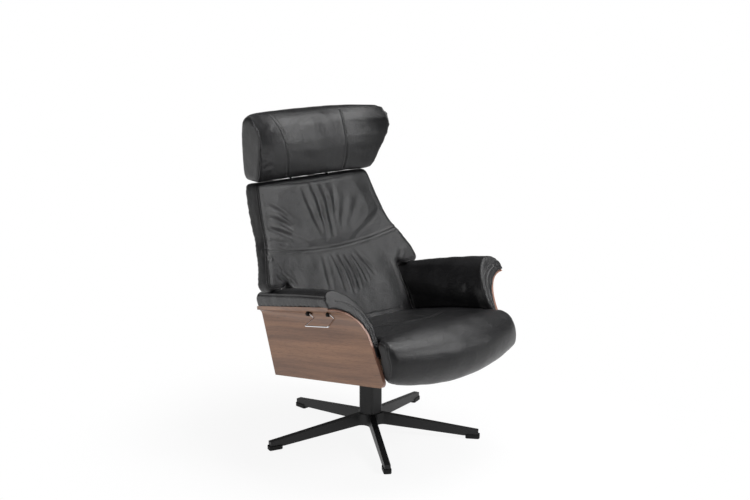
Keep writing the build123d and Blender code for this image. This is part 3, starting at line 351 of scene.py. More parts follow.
def moulded_plastic():
    """Matt black moulded plastic with a spark-eroded grain."""
    finish = Finish("moulded_plastic")
    place = finish.place()
    grain = finish.noise(place, 1300.0, 2.0)
    colour = finish.tint(finish.noise(place, 20.0), (0.004, 0.004, 0.004), (0.008, 0.008, 0.008))
    return finish.set(Base_Color=colour, Roughness=0.55 + grain * 0.15,
                      Normal=finish.bump(grain, 0.00006), Specular_IOR_Level=0.25)


def metal(name, colour, dull, roughness, brushed=0.0):
    """Bare or plated metal, with faint smears and, where asked, fine brush lines."""
    finish = Finish(name)
    x, y, z = finish.parts(finish.place())
    smears = finish.noise(finish.place(), 26.0, 3.0, 0.6)
    lines = finish.noise(finish.join_parts(x * 40.0, y * 1400.0, z * 1400.0), 1.0, 1.0)
    tone = finish.tint(smears, colour, dull)
    return finish.set(Base_Color=tone, Metallic=1.0, Roughness=roughness + smears * 0.08,
                      Normal=finish.bump(lines, 0.00002 * (1 + brushed)))


def painted_steel():
    """Thin black paint over rolled steel."""
    finish = Finish("painted_steel")
    place = finish.place()
    scale = finish.noise(place, 60.0, 4.0, 0.6)
    colour = finish.tint(scale, (0.012, 0.012, 0.013), (0.022, 0.022, 0.023))
    return finish.set(Base_Color=colour, Roughness=0.38 + scale * 0.15,
                      Normal=finish.bump(scale, 0.00008))


def woven_cloth():
    """Plain black woven cloth."""
    finish = Finish("woven_cloth")
    x, y, z = finish.parts(finish.place())
    weave = (x * 5200.0).wave() * (y * 5200.0).wave() * 0.5 + 0.5
    colour = finish.tint(weave, (0.006, 0.006, 0.006), (0.020, 0.020, 0.021))
    return finish.set(Base_Color=colour, Roughness=0.85, Normal=finish.bump(weave, 0.0002))


def thread_with_painted_sheen():
    """Black waxed sewing thread with a visible twist, lightened to grey as a painted sheen."""
    finish = Finish("thread_with_painted_sheen")
    x, y, z = finish.parts(finish.place())
    twist = ((x + y + z) * 5600.0).wave()
    # painted sheen: the thread's grey stands in for the shine on black thread
    colour = finish.tint(twist * 0.5 + 0.5, (0.10, 0.098, 0.10), (0.22, 0.215, 0.22))
    return finish.set(Base_Color=colour, Roughness=0.42, Normal=finish.bump(twist, 0.0001))


LEATHER = black_leather()
THREAD = thread_with_painted_sheen()
FINISHES = {
    "leather_skin": LEATHER,
    "walnut_ply": walnut_veneer(),
    "plain_ply": pale_timber("birch_ply", (0.40, 0.27, 0.16), (0.62, 0.47, 0.31)),
    "beech": pale_timber("beech_timber", (0.46, 0.30, 0.18), (0.66, 0.48, 0.32)),
    "base_enamel": powder_coat(),
    "black_plastic": moulded_plastic(),
    "black_steel": painted_steel(),
    "black_cloth": woven_cloth(),
    "bright_steel": metal("zinc_steel", (0.60, 0.61, 0.62), (0.44, 0.45, 0.46), 0.30, 1.0),
    "chrome_plate": metal("chrome", (0.86, 0.86, 0.88), (0.74, 0.74, 0.76), 0.07),
}


def dress_frame():
    """Every CAD node takes the finish of its own material slot."""
    for part in frame["record"]["subparts"]:
        mesh = nodes[part["node"]].data
        mesh.materials.clear()
        mesh.materials.append(FINISHES[part["material_slot"]])


# ---- meshes ----
def new_piece(name, points, faces, material):
    mesh = bpy.data.meshes.new(name)
    mesh.from_pydata([tuple(p) for p in points], [], [tuple(f) for f in faces])
    mesh.materials.append(material)
    mesh.shade_smooth()
    piece = bpy.data.objects.new(name, mesh)
    bpy.context.scene.collection.objects.link(piece)
    return piece


def baked(piece):
    """The piece with its modifiers applied and removed."""
    graph = bpy.context.evaluated_depsgraph_get()
    mesh = bpy.data.meshes.new_from_object(piece.evaluated_get(graph), depsgraph=graph)
    piece.modifiers.clear()
    old = piece.data
    piece.data = mesh
    bpy.data.meshes.remove(old)
    return piece


def merged(*names):
    """Points and faces of CAD nodes, with each node's loose triangles joined."""
    soft = bmesh.new()
    for name in names:
        soft.from_mesh(nodes[name].data)
    bmesh.ops.remove_doubles(soft, verts=soft.verts, dist=WELD)
    points = [vertex.co.copy() for vertex in soft.verts]
    faces = [[vertex.index for vertex in face.verts] for face in soft.faces]
    soft.free()
    return points, faces


def tree_of(*names):
    return BVHTree.FromPolygons(*merged(*names))


# A cover fills like a cloth over its foam, in a few steps of time.
COVER_CLOTH = {
    "vertex_group_mass": "held",
    "use_pressure": True,
    "uniform_pressure_force": 4.0,
    "tension_stiffness": 25.0,
    "compression_stiffness": 25.0,
    "shear_stiffness": 10.0,
    "bending_stiffness": 2.0,
}
FILLING_STEPS = 20
FIRST_SMOOTHING = 8
PUCKER_LENGTH = 5.5 * MM  # from a stitch to the next hollow beside a seam
STITCH_SIZES = {"Spacing": 6.2 * MM, "Length": 4.4 * MM, "Thickness": 1.0 * MM}
STITCH_OFFSET = 3.4 * MM  # from a seam to the stitches beside it


class Cover:
    """The skin of a soft piece while it is shaped: its points and normals as arrays."""

    def __init__(self, name, solids, voxel, plugs=(), replaced=None):
        points, faces = merged(*solids)
        for plug_points, plug_faces in plugs:
            start = len(points)
            points += plug_points
            faces += [[start + corner for corner in face] for face in plug_faces]
        self.solids_replaced = replaced or solids
        self.piece = new_piece(name, points, faces, LEATHER)
        remesh = self.piece.modifiers.new("skin", "REMESH")
        remesh.mode = "VOXEL"
        remesh.voxel_size = voxel
        smooth = self.piece.modifiers.new("smooth", "SMOOTH")
        smooth.iterations = FIRST_SMOOTHING
        baked(self.piece)
        self.read()
        self.first_skin = self.tree()

    def read(self):
        mesh = self.piece.data
        count = len(mesh.vertices)
        self.points = np.empty((count, 3))
        self.normals = np.empty((count, 3))
        mesh.vertices.foreach_get("co", self.points.ravel())
        mesh.vertex_normals.foreach_get("vector", self.normals.ravel())
        self.seams = np.zeros(count)

    def write(self):
        mesh = self.piece.data
        mesh.vertices.foreach_set("co", self.points.ravel())
        mesh.update()
        mesh.vertex_normals.foreach_get("vector", self.normals.ravel())

    def tree(self):
        faces = [tuple(face.vertices) for face in self.piece.data.polygons]
        return BVHTree.FromPolygons([Vector(p) for p in self.points], faces)

    def move(self, amount):
        self.points += self.normals * amount[:, None]
        self.write()

    def spread(self, values, times):
        """Values at the points, averaged with their neighbours' a few times."""
        edges = np.empty(2 * len(self.piece.data.edges), np.int64)
        self.piece.data.edges.foreach_get("vertices", edges)
        one, other = edges.reshape(-1, 2).T
        shape = (-1,) + (1,) * (values.ndim - 1)
        count = np.bincount(edges, minlength=len(values)).reshape(shape)
        for _ in range(times):
            total = np.zeros(values.shape)
            np.add.at(total, one, values[other])
            np.add.at(total, other, values[one])
            values = 0.5 * values + 0.5 * total / count
        return values

    def swell(self, held, draw_in, cap):
        """Blows the skin up as a filled cover, after drawing it in, with some points held."""
        free = self.spread(1.0 - held, 3) ** 2
        self.move(-draw_in * free)
        group = self.piece.vertex_groups.new(name="held")
        group.add([int(i) for i in np.flatnonzero(held)], 1.0, "REPLACE")
        cloth = self.piece.modifiers.new("fill", "CLOTH")
        for setting, value in COVER_CLOTH.items():
            setattr(cloth.settings, setting, value)
        cloth.settings.effector_weights.gravity = 0.0
        for number in range(1, FILLING_STEPS + 1):
            bpy.context.scene.frame_set(number)
        graph = bpy.context.evaluated_depsgraph_get()
        filled = np.empty(self.points.shape)
        self.piece.evaluated_get(graph).data.vertices.foreach_get("co", filled.ravel())
        moved = filled - self.points
        length = np.linalg.norm(moved, axis=1)
        moved *= np.minimum(1, cap / np.maximum(length, TINY))[:, None]
        self.points += self.spread(moved * free[:, None], 4)
        self.piece.modifiers.clear()
        self.piece.vertex_groups.clear()
        self.write()

    def refine(self):
        """One level of subdivision."""
        finer = self.piece.modifiers.new("finer", "SUBSURF")
        finer.levels = finer.render_levels = 1
        baked(self.piece)
        self.piece.data.shade_smooth()
        self.read()

    def settle(self, neighbours, proud, close=1.0 * MM, reach=14 * MM, sunk=0.5 * MM):
        """Holds the skin near its first shape, and nearer still where a neighbour is close."""
        others = tree_of(*neighbours)
        for index, point in enumerate(self.points):
            spot, normal, _, _ = self.first_skin.find_nearest(Vector(point))
            limit = proud
            if others.find_nearest(Vector(point), reach)[0] is not None:
                limit = close
            out = (Vector(point) - spot).dot(normal)
            self.points[index] += np.array(normal) * (min(max(out, -sunk), limit) - out)
        self.write()

    def press(self, line, width, depth, ridge=0.0, taper=False, pucker=0.0, seam=0.0):
        """Presses a groove along a line, with soft ridges beside it."""
        gap, place, run = along_line(self.points, line, 4 * width)
        near = gap < 4 * width
        share = gap[near] / width
        strength = np.ones(near.sum())
        if taper:
            strength *= np.sin(np.pi * np.clip(place[near] / run, 0, 1)) ** 0.6
        if pucker:
            strength *= 1 + pucker * np.sin(place[near] / PUCKER_LENGTH * math.pi)
        amount = np.zeros(len(self.points))
        amount[near] = strength * depth * (
            ridge * np.exp(-(share - 2.0) ** 2) - np.exp(-share**2))
        # the seam mark, where the leather is duller and a painted shade darkens the groove
        self.seams[near] = np.maximum(self.seams[near], seam * np.exp(-(share * 1.3) ** 2))
        self.points += self.normals * amount[:, None]

    def rumple(self, depth, length):
        """Slight hills and hollows, as leather has over foam."""
        hills = [noise.noise(Vector(point) / length) for point in self.points]
        self.points += self.normals * (depth * np.array(hills))[:, None]

    def soften(self, line, reach, times):
        """Evens out the skin close to a line."""
        gap = along_line(self.points, line, reach)[0]
        share = np.clip(1.3 * (1 - gap / reach), 0, 1)
        self.points += share[:, None] * (self.spread(self.points, times) - self.points)
        self.write()

    def near(self, lines, reach):
        """Whether each point is within a reach of one of the lines."""
        gaps = [along_line(self.points, line, reach)[0] for line in lines]
        return np.min(gaps, axis=0) < reach

    def done(self, body):
        """The finished piece: written, seams marked for dullness and painted shade, set on its
        body.
        """
        self.write()
        mark = self.piece.data.attributes.new("seam", "FLOAT", "POINT")
        mark.data.foreach_set("value", self.seams.astype(np.float32))
        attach(self.piece, body)
        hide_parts(*self.solids_replaced)


def onto(tree, points, towards):
    """Points moved along a direction onto a skin."""
    towards = Vector(towards).normalized()
    found = []
    for point in points:
        spot = tree.ray_cast(Vector(point) - towards, towards)[0]
        found.append(spot or tree.find_nearest(Vector(point))[0])
    return np.array(found)


def nearest(tree, points):
    return eased([tree.find_nearest(Vector(point))[0] for point in points])


def tube(name, line, radius, material, sides=8):
    """A closed round tube along a line."""
    line = np.array(line)
    ways = np.gradient(line, axis=0)
    ways /= np.linalg.norm(ways, axis=1)[:, None]
    side = np.cross(ways[0], (0.31, 0.17, 0.94))
    points = []
    for place, way in zip(line, ways):
        side = side - way * (side @ way)
        side /= np.linalg.norm(side)
        other = np.cross(way, side)
        for turn in np.linspace(0, 2 * math.pi, sides, endpoint=False):
            points.append(place + radius * (math.cos(turn) * side + math.sin(turn) * other))
    faces = []
    for ring in range(len(line) - 1):
        for corner in range(sides):
            after = (corner + 1) % sides
            low = ring * sides
            faces.append((low + corner, low + after, low + sides + after, low + sides + corner))
    last = (len(line) - 1) * sides
    faces.append(tuple(reversed(range(sides))))
    faces.append(tuple(range(last, last + sides)))
    return new_piece(name, points, faces, material)


def stitch_tree():
    """The node tree that sets sewn stitches along lines."""
    tree = bpy.data.node_groups.new("sewn_stitches", "GeometryNodeTree")
    tree.interface.new_socket("Geometry", in_out="INPUT", socket_type="NodeSocketGeometry")
    for name in ("Spacing", "Length", "Thickness"):
        tree.interface.new_socket(name, in_out="INPUT", socket_type="NodeSocketFloat")
    tree.interface.new_socket("Thread", in_out="INPUT", socket_type="NodeSocketMaterial")
    tree.interface.new_socket("Geometry", in_out="OUTPUT", socket_type="NodeSocketGeometry")

    def node(kind, settings=None, inputs=None):
        made = tree.nodes.new(kind)
        for key, value in (settings or {}).items():
            setattr(made, key, value)
        for key, value in (inputs or {}).items():
            if isinstance(value, bpy.types.NodeSocket):
                tree.links.new(value, made.inputs[key])
            else:
                made.inputs[key].default_value = value
        return made

    given = node("NodeGroupInput").outputs
    curve = node("GeometryNodeMeshToCurve", None, {"Mesh": given["Geometry"]})
    spaced = node("GeometryNodeResampleCurve", {"mode": "LENGTH"},
                  {"Curve": curve.outputs[0], "Length": given["Spacing"]})
    stitch = node("GeometryNodeMeshUVSphere", None, {"Segments": 6, "Rings": 4, "Radius": 0.5})
    size = node("ShaderNodeCombineXYZ", None,
                {"X": given["Length"], "Y": given["Thickness"], "Z": given["Thickness"]})
    way = node("GeometryNodeInputTangent")
    turn = node("FunctionNodeAlignRotationToVector", {"axis": "X"}, {"Vector": way.outputs[0]})
    placed = node("GeometryNodeInstanceOnPoints", None,
                  {"Points": spaced.outputs[0], "Instance": stitch.outputs[0],
                   "Rotation": turn.outputs[0], "Scale": size.outputs[0]})
    real = node("GeometryNodeRealizeInstances", None, {0: placed.outputs[0]})
    dyed = node("GeometryNodeSetMaterial", None,
                {"Geometry": real.outputs[0], "Material": given["Thread"]})
    out = node("NodeGroupOutput")
    tree.links.new(dyed.outputs[0], out.inputs[0])
    return tree


STITCHES = stitch_tree()


def stitches(name, lines, body):
    """Rows of stitches along lines, as one mesh on a body."""
    points, edges = [], []
    for line in lines:
        start = len(points)
        points += [tuple(point) for point in line]
        edges += [(start + i, start + i + 1) for i in range(len(line) - 1)]
    mesh = bpy.data.meshes.new(name)
    mesh.from_pydata(points, edges, [])
    piece = bpy.data.objects.new(name, mesh)
    bpy.context.scene.collection.objects.link(piece)
    rows = piece.modifiers.new("rows", "NODES")
    rows.node_group = STITCHES
    values = {**STITCH_SIZES, "Thread": THREAD}
    for socket in STITCHES.interface.items_tree:
        if socket.in_out == "INPUT" and socket.name in values:
            rows[socket.identifier] = values[socket.name]
    baked(piece)
    piece.data.shade_smooth()
    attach(piece, body)


def beside(tree, line, offset, lift=0.2 * MM):
    """A line beside another one on a skin, lifted off it a little."""
    ways = np.gradient(line, axis=0)
    moved = []
    for point, way in zip(line, ways):
        normal = tree.find_nearest(Vector(point))[1]
        side = normal.cross(Vector(way)).normalized()
        spot, out, _, _ = tree.find_nearest(Vector(point) + side * offset)
        moved.append(spot + out * lift)
    return np.array(moved)


def stitch_both_sides(name, tree, seams, offset, body):
    """Stitches on both sides of each seam."""
    rows = [beside(tree, seam, side * offset) for seam in seams for side in SIDES]
    stitches(name, rows, body)


# ---- back ----
# The places of the back, in the seat frame: its outline, its face's middle line as depths at
# heights, and how fast the face comes forward from there to the sides.
BACK_FOOT, BACK_TOP = 372, 881
BACK_HALF_LOW, TOP_HALF = 245, 250
WING_LOW = 551
SHOULDER = (340, 567)
BACK_HEIGHTS = (350, 480, 600, 740, 880)
BACK_LINE = (-47, -1, 50, 102, 134)
BACK_SAG = (0, 6e-5, 26e-5, 14e-5, 5e-5)

# The sewn V seam: its height in the middle, its rise out to a distance, and its half width.
SEAM_LOW, SEAM_RISE, SEAM_REACH, SEAM_HALF = 640, 34, 300, 310

# The headrest's posts, whose ways in the cushion are closed under the cover.
POST_CENTRE = 80
POST_HINGE = (378.96, 890.47)
POST_LEAN = math.radians(26)
PLUG_ENDS = (205, 68)  # down the post from its hinge
PLUG_RADIUS = 11

TOP_RISE = 14  # how far the cover's top edge puffs up over the solid
TOP_HEIGHTS = (800, 870)  # where that begins, and where it is whole
WING_DROOP = 15  # how far the cover sags below the solid along the wings' lower edges
WING_PLACES = (250, 280)  # where that begins and is whole, out from the middle
WING_HEIGHTS = (596, 556)  # and going down
WING_UNDER = 530  # where it stops

# Where the leather rumples on the back's face: each fold's depth and width, then its places
# as (x, height).
UPPER_FOLDS = [
    (1.8, 9, (-62, 862), (-48, 780), (-32, 705), (-24, 664)),
    (2.4, 8, (-24, 872), (-8, 790), (-16, 668)),
    (2.2, 8, (16, 866), (30, 790), (6, 668)),
    (1.6, 9, (66, 860), (60, 795), (24, 690)),
    (1.2, 11, (118, 832), (95, 770), (50, 700)),
    (0.8, 11, (178, 815), (140, 760), (85, 705)),
    (2.4, 7, (-232, 818), (-190, 792), (-140, 747)),
    (2.4, 7, (-240, 778), (-200, 759), (-150, 724)),
    (2.2, 7, (-250, 737), (-212, 724), (-165, 700)),
    (1.8, 6, (-262, 702), (-225, 692), (-190, 678)),
]
LOWER_FOLDS = [
    (2.6, 5, (-24, 618), (-18, 560), (-20, 488)),
    (3.0, 5, (4, 614), (14, 548), (10, 478)),
    (3.0, 5, (30, 612), (42, 550), (38, 486)),
    (2.4, 5, (60, 610), (78, 556), (84, 506)),
    (2.0, 6, (86, 612), (110, 566), (124, 526)),
    (1.5, 7, (-60, 622), (-72, 560), (-84, 500)),
    (2.4, 5, (-286, 590), (-258, 564), (-238, 536)),
    (2.0, 5, (-262, 588), (-240, 562), (-224, 540)),
    (1.4, 8, (272, 592), (248, 562), (236, 530)),
]


def back_outline(side):
    """The back's edge from the foot up to the top, on one side: x and height."""
    right = [(BACK_HALF_LOW, BACK_FOOT), (BACK_HALF_LOW, 430), (BACK_HALF_LOW, 500)]
    right += [(BACK_HALF_LOW + 2, WING_LOW - 22), (BACK_HALF_LOW + 22, WING_LOW - 3)]
    right += [(300, WING_LOW), (SHOULDER[0] - 8, WING_LOW + 5), (SHOULDER[0], SHOULDER[1] + 8)]
    right += [(311, 640), (284, 699), (268, 785), (TOP_HALF + 4, 856), (TOP_HALF - 4, BACK_TOP)]
    return [(side * x, z) for x, z in right]


def back_edges(tree, inset=4):
    """The corners between the back's face and its sides, found from points just off them."""
    edges = []
    for side in SIDES:
        guess = []
        for x, z in back_outline(side):
            depth = np.interp(z, BACK_HEIGHTS, BACK_LINE)
            sag = np.interp(z, BACK_HEIGHTS, BACK_SAG)
            guess.append((x - side * inset, depth - sag * x**2 + inset, z))
        edges.append(nearest(tree, smooth_line(from_seat(guess))))
    return edges


def on_front(tree, places):
    """A smooth line on the back's face through (x, height) places in the seat frame."""
    line = smooth_line(from_seat([(x, 0, z) for x, z in places]))
    return onto(tree, line, to_metres_step((0, 1, 0)))


def back_seam(tree):
    xs = np.linspace(-SEAM_HALF, SEAM_HALF, 21)
    return on_front(tree, [(x, SEAM_LOW + SEAM_RISE * (x / SEAM_REACH) ** 2) for x in xs])


def post_plugs():
    """Rods that close the posts' ways inside the cushion, short of the top."""
    plugs = []
    for x in (-POST_CENTRE, POST_CENTRE):
        ends = [(x, POST_HINGE[0] - down * math.sin(POST_LEAN),
                 POST_HINGE[1] - down * math.cos(POST_LEAN)) for down in PLUG_ENDS]
        rod = tube("plug", np.array(ends) * MM, PLUG_RADIUS * MM, LEATHER)
        points = [vertex.co.copy() for vertex in rod.data.vertices]
        faces = [list(face.vertices) for face in rod.data.polygons]
        plugs.append((points, faces))
        bpy.data.objects.remove(rod)
    return plugs


def back_upholstery():
    """The back's cover: front cushion, edge and rear cover in one skin round the shell."""
    cover = Cover("back_upholstery", ("back_cushion", "back_shell", "back_cover"), 6 * MM,
                  post_plugs(), ("back_cushion", "back_cover"))
    x, _, z = to_seat(cover.points).T
    droop = ramp(np.abs(x), *WING_PLACES) * ramp(z, *WING_HEIGHTS) * (z > WING_UNDER)
    cover.points += droop[:, None] * to_metres_step((0, 0, -WING_DROOP))
    cover.points += ramp(z, *TOP_HEIGHTS)[:, None] * to_metres_step((0, 0, TOP_RISE))
    cover.write()
    cover.first_skin = tree = cover.tree()
    seam, edges = back_seam(tree), back_edges(tree)
    for edge in edges:
        cover.soften(edge, reach=12 * MM, times=6)
    held = cover.near([seam, *edges], 5 * MM)
    held |= cover.normals @ to_metres_step((0, -1, 0)) / MM < -0.5
    held |= to_seat(cover.points)[:, 2] < BACK_FOOT
    cover.swell(held, draw_in=1.5 * MM, cap=8 * MM)
    cover.refine()
    cover.settle(("arm_pad_left", "arm_pad_right", "seat_cushion"), proud=6 * MM)
    tree = cover.tree()
    seam, edges = back_seam(tree), back_edges(tree)
    cover.rumple(depth=1.6 * MM, length=55 * MM)
    cover.press(seam, width=8 * MM, depth=-2.0 * MM)
    cover.press(seam, width=3.2 * MM, depth=4.0 * MM, ridge=0.2, pucker=0.15, seam=1.0)
    for edge in edges:
        cover.press(edge, width=3.0 * MM, depth=1.2 * MM, ridge=0.3, pucker=0.08, seam=0.6)
    for depth, width, *places in UPPER_FOLDS + LOWER_FOLDS:
        cover.press(on_front(tree, places), width * MM, depth * MM, ridge=0.6, taper=True)
    cover.done("back")
    stitch_both_sides("back_stitches", cover.tree(), edges, STITCH_OFFSET, "back")


# ---- headrest ----
HEAD_SEAM = [(124, 868), (128, 900), (130, 940), (133, 985), (140, 1030), (152, 1066)]
HEAD_FACE = 250  # depth of a plane in front of which the face is looked for
HEAD_LOW, HEAD_TOP, HEAD_HALF = 864, 1078, 294
HEAD_NARROWER = 38  # how much nearer the middle a wing's tip is at its foot
HEAD_TIP = 271  # depth of the tip at its foot
HEAD_TIP_FORWARD = 66  # how far it comes forward up to its turn
HEAD_TIP_TURN = 0.8  # share of the height at which it turns back
HEAD_TIP_BACK = 220  # how fast it goes back from there to the top
HEAD_HANG = 10  # how far the cover's lower edge hangs below the solid's
HEAD_HANG_HEIGHTS = (930, 870)  # where that begins, going down, and where it is whole
HEAD_FOLDS = [
    (1.8, 7, (-262, 958), (-232, 950), (-205, 946)),
    (1.4, 7, (-250, 905), (-215, 912), (-190, 910)),
    (1.4, 12, (-80, 930), (0, 918), (70, 934)),
    (1.2, 10, (168, 930), (200, 925), (235, 930)),
    (1.2, 9, (-170, 1040), (-200, 1032), (-230, 1030)),
    (1.2, 12, (-60, 1035), (10, 1046), (80, 1038)),
]


def head_line(tree, places):
    """A smooth line on the headrest's face through (x, height) places over the floor."""
    line = smooth_line(from_floor([(x, HEAD_FACE, z) for x, z in places]))
    return onto(tree, line, (0, 1, 0))


def head_seams(tree):
    """The seams between the middle panel and the wings."""
    return [head_line(tree, [(side * x, z) for x, z in HEAD_SEAM]) for side in SIDES]


def head_edges(tree, inset=3):
    """The corners between the headrest's face and its ends, found from points just off them."""
    edges = []
    for side in SIDES:
        guess = []
        for rise in np.linspace(0.05, 0.95, 19):
            wing = HEAD_HALF - HEAD_NARROWER * (1 - rise) ** 1.5
            forward = HEAD_TIP_FORWARD * math.sin(min(rise / HEAD_TIP_TURN, 1) * math.pi / 2)
            tip = HEAD_TIP - forward + HEAD_TIP_BACK * max(rise - HEAD_TIP_TURN, 0)
            height = HEAD_LOW + rise * (HEAD_TOP - HEAD_LOW)
            guess.append((side * (wing - inset), tip + inset, height))
        edges.append(nearest(tree, smooth_line(from_floor(guess))))
    return edges


def headrest_upholstery():
    """The winged headrest: a middle panel, two wings and gussets at the ends."""
    cover = Cover("headrest_upholstery", ("headrest_cushion",), 5.5 * MM)
    hang = ramp(cover.points[:, 2] / MM, *HEAD_HANG_HEIGHTS)
    cover.points[:, 2] -= hang * HEAD_HANG * MM
    cover.write()
    for edge in head_edges(cover.tree()):
        cover.soften(edge, reach=16 * MM, times=12)
    cover.first_skin = tree = cover.tree()
    held = cover.near(head_seams(tree) + head_edges(tree), 4.5 * MM)
    held |= cover.normals[:, 1] > 0.5
    cover.swell(held, draw_in=1.5 * MM, cap=7 * MM)
    cover.refine()
    cover.settle(("headrest_posts", "headrest_plate"), proud=5 * MM)
    tree = cover.tree()
    seams, edges = head_seams(tree), head_edges(tree)
    cover.rumple(depth=1.4 * MM, length=50 * MM)
    for seam in seams:
        cover.press(seam, width=3.4 * MM, depth=2.4 * MM, ridge=0.2, pucker=0.2, seam=0.8)
    for edge in edges:
        cover.press(edge, width=3.0 * MM, depth=1.4 * MM, ridge=0.3, pucker=0.08, seam=0.6)
    for depth, width, *places in HEAD_FOLDS:
        cover.press(head_line(tree, places), width * MM, depth * MM, ridge=0.5, taper=True)
    cover.done("headrest")
    stitch_both_sides("headrest_stitches", cover.tree(), edges, STITCH_OFFSET, "headrest")


# ---- seat ----
# Places on the seat, in the seat frame. Its solid has a straight crease, which the cover
# fills and sews anew as a curve.
SOLID_CREASE, SOLID_CREASE_HALF = -375, 250
CREASE, CREASE_CURVE, CREASE_HALF = -343, 78, 200
SEAT_OVER = 420  # a height over the seat, from which lines are laid on it
ROLL_SAG = 6  # how far the cover's front hangs below the solid's
ROLL_SAG_DEPTHS, ROLL_SAG_HEIGHTS = (-390, -450), (340, 280)  # where that begins and is whole
ROLL_SEAM = [(-372, 386), (-415, 384), (-445, 366), (-458, 340), (-462, 312), (-455, 284)]
ROLL_SEAM_HALF = 264
SEAT_UNDERSIDE = [(300, -440), (372, -390)]  # below each height, held behind each depth
SEAT_REAR = -58
SEAT_FOLDS = [(-120, 1.0), (-60, 1.4), (25, 1.2), (90, 1.0), (150, 0.8)]  # place and depth


def roll_seams(tree):
    """The piped seams round the roll's ends."""
    ends = [from_seat([(side * ROLL_SEAM_HALF, y, z) for y, z in ROLL_SEAM]) for side in SIDES]
    return [nearest(tree, smooth_line(end)) for end in ends]


def seat_upholstery():
    """The seat: a crowned pad sewn to a round front roll."""
    cover = Cover("seat_upholstery", ("seat_cushion",), 6 * MM)

    def on_top(places):
        line = smooth_line(from_seat([(x, y, SEAT_OVER) for x, y in places]))
        return onto(cover.tree(), line, to_metres_step((0, 0, -1)))

    xs = range(-SOLID_CREASE_HALF, SOLID_CREASE_HALF + 1, 25)
    cover.press(on_top([(x, SOLID_CREASE) for x in xs]), width=9 * MM, depth=-3.5 * MM)
    _, y, z = to_seat(cover.points).T
    sag = ramp(y, *ROLL_SAG_DEPTHS) * ramp(z, *ROLL_SAG_HEIGHTS)
    cover.points += sag[:, None] * to_metres_step((0, 0, -ROLL_SAG))
    cover.write()
    cover.first_skin = cover.tree()
    _, y, z = to_seat(cover.points).T
    held = cover.near(roll_seams(cover.first_skin), 5 * MM) | (y > SEAT_REAR)
    for height, depth in SEAT_UNDERSIDE:
        held |= (z < height) & (y > depth)
    cover.swell(held, draw_in=1.5 * MM, cap=9 * MM)
    cover.refine()
    cover.settle(("side_shell_left", "side_shell_right", "arm_pad_left", "arm_pad_right",
                  "back_cushion", "front_rail"), proud=6 * MM)
    xs = range(-CREASE_HALF, CREASE_HALF + 1, 25)
    crease = on_top([(x, CREASE + CREASE_CURVE * (x / CREASE_HALF) ** 2) for x in xs])
    seams = roll_seams(cover.tree())
    cover.rumple(depth=1.6 * MM, length=60 * MM)
    cover.press(crease, width=9 * MM, depth=3.0 * MM, ridge=0.4, taper=True)
    for seam in seams:
        cover.press(seam, width=3.5 * MM, depth=1.6 * MM, ridge=0.3, pucker=0.3, seam=0.7)
    for x, depth in SEAT_FOLDS:
        fold = on_top([(x, -330), (x + 6, -290), (x + 2, -245)])
        cover.press(fold, width=7 * MM, depth=depth * MM, ridge=0.6, taper=True)
    cover.done("seat")
    stitch_both_sides("seat_stitches", cover.tree(), seams, STITCH_OFFSET, "seat")


# ---- arm pads ----
# Places on the left pad, in the seat frame. Its cover ends a little behind the solid's front,
# which leaves the wood's edge bare, and its top is crowned.
PAD_HEIGHTS = (331, 397, 523, 560)
PAD_FRONT = (-426, -405, -347, -324)  # depth of the solid's front at those heights
PAD_SHORTER, PAD_SHORTER_REACH = 13, 70
PAD_CROWN, PAD_CROWN_MIDDLE, PAD_CROWN_REACH = 9, -80, 230
PAD_CROWN_HEIGHTS = (495, 525)  # where the crown begins and is whole
PAD_SIDE_SEAM = [(304, 121, 527), (328, -22, 530), (350, -156, 533), (370, -267, 535),
                 (380, -325, 535)]
PAD_FRONT_SEAM = [(346, -345, 527), (316, -352, 515), (294, -360, 499), (277, -373, 476),
                  (267, -386, 449), (264, -395, 427), (264, -402, 404), (264, -412, 375)]
PAD_STITCH_OFFSET = 3.6 * MM


def arm_pad(name, side):
    """A padded arm over the shell's upper end, with a sewn top and front."""
    cover = Cover(f"{name}_upholstery", (name,), 5 * MM)

    def pad_seams():
        tree = cover.tree()
        return [nearest(tree, smooth_line(from_seat([(side * x, y, z) for x, y, z in places])))
                for places in (PAD_SIDE_SEAM, PAD_FRONT_SEAM)]

    _, y, z = to_seat(cover.points).T
    shorter = ramp(y - np.interp(z, PAD_HEIGHTS, PAD_FRONT), PAD_SHORTER_REACH, 0)
    crown = np.clip(1 - ((y - PAD_CROWN_MIDDLE) / PAD_CROWN_REACH) ** 2, 0, 1)
    crown *= ramp(z, *PAD_CROWN_HEIGHTS)
    cover.points += shorter[:, None] * to_metres_step((0, PAD_SHORTER, 0))
    cover.points += crown[:, None] * to_metres_step((0, 0, PAD_CROWN))
    cover.write()
    cover.first_skin = cover.tree()
    shells = tree_of("side_shell_left", "side_shell_right")
    held = np.array([shells.find_nearest(Vector(p), 6 * MM)[0] is not None for p in cover.points])
    held |= cover.near(pad_seams(), 6 * MM)
    cover.swell(held, draw_in=1.0 * MM, cap=6 * MM)
    cover.refine()
    cover.settle(("side_shell_left", "side_shell_right", "seat_cushion", "back_cushion",
                  "hinge_block_left", "hinge_block_right"), proud=4 * MM, close=0.5 * MM,
                 reach=6 * MM)
    seams = pad_seams()
    cover.rumple(depth=1.2 * MM, length=45 * MM)
    for seam in seams:
        cover.press(seam, width=3.0 * MM, depth=1.8 * MM, ridge=0.4, pucker=0.35, seam=0.7)
    cover.done("seat")
    stitch_both_sides(f"{name}_stitches", cover.tree(), seams, PAD_STITCH_OFFSET, "seat")


# ---- studio ----
CAMERA_PLACE = (-2.69148, -2.97568, 1.55885)
CAMERA_DOWN, CAMERA_ROUND = math.radians(12.833), math.radians(-42)
LENS, SENSOR = 60, 36
FLOOR_HALF = 9.0
FLOOR_GLOW = 0.90  # share of plain white round the chair, which leaves its shadow
FLOOR_FADE = (0.45, 1.1)  # the distances between which it rises to 1
CEILING_LEVEL, CEILING_RISE = 0.15, 0.12  # how dim the ceiling is, and how soon above level
SOFT_LEVEL = 0.32  # the light that comes from all round


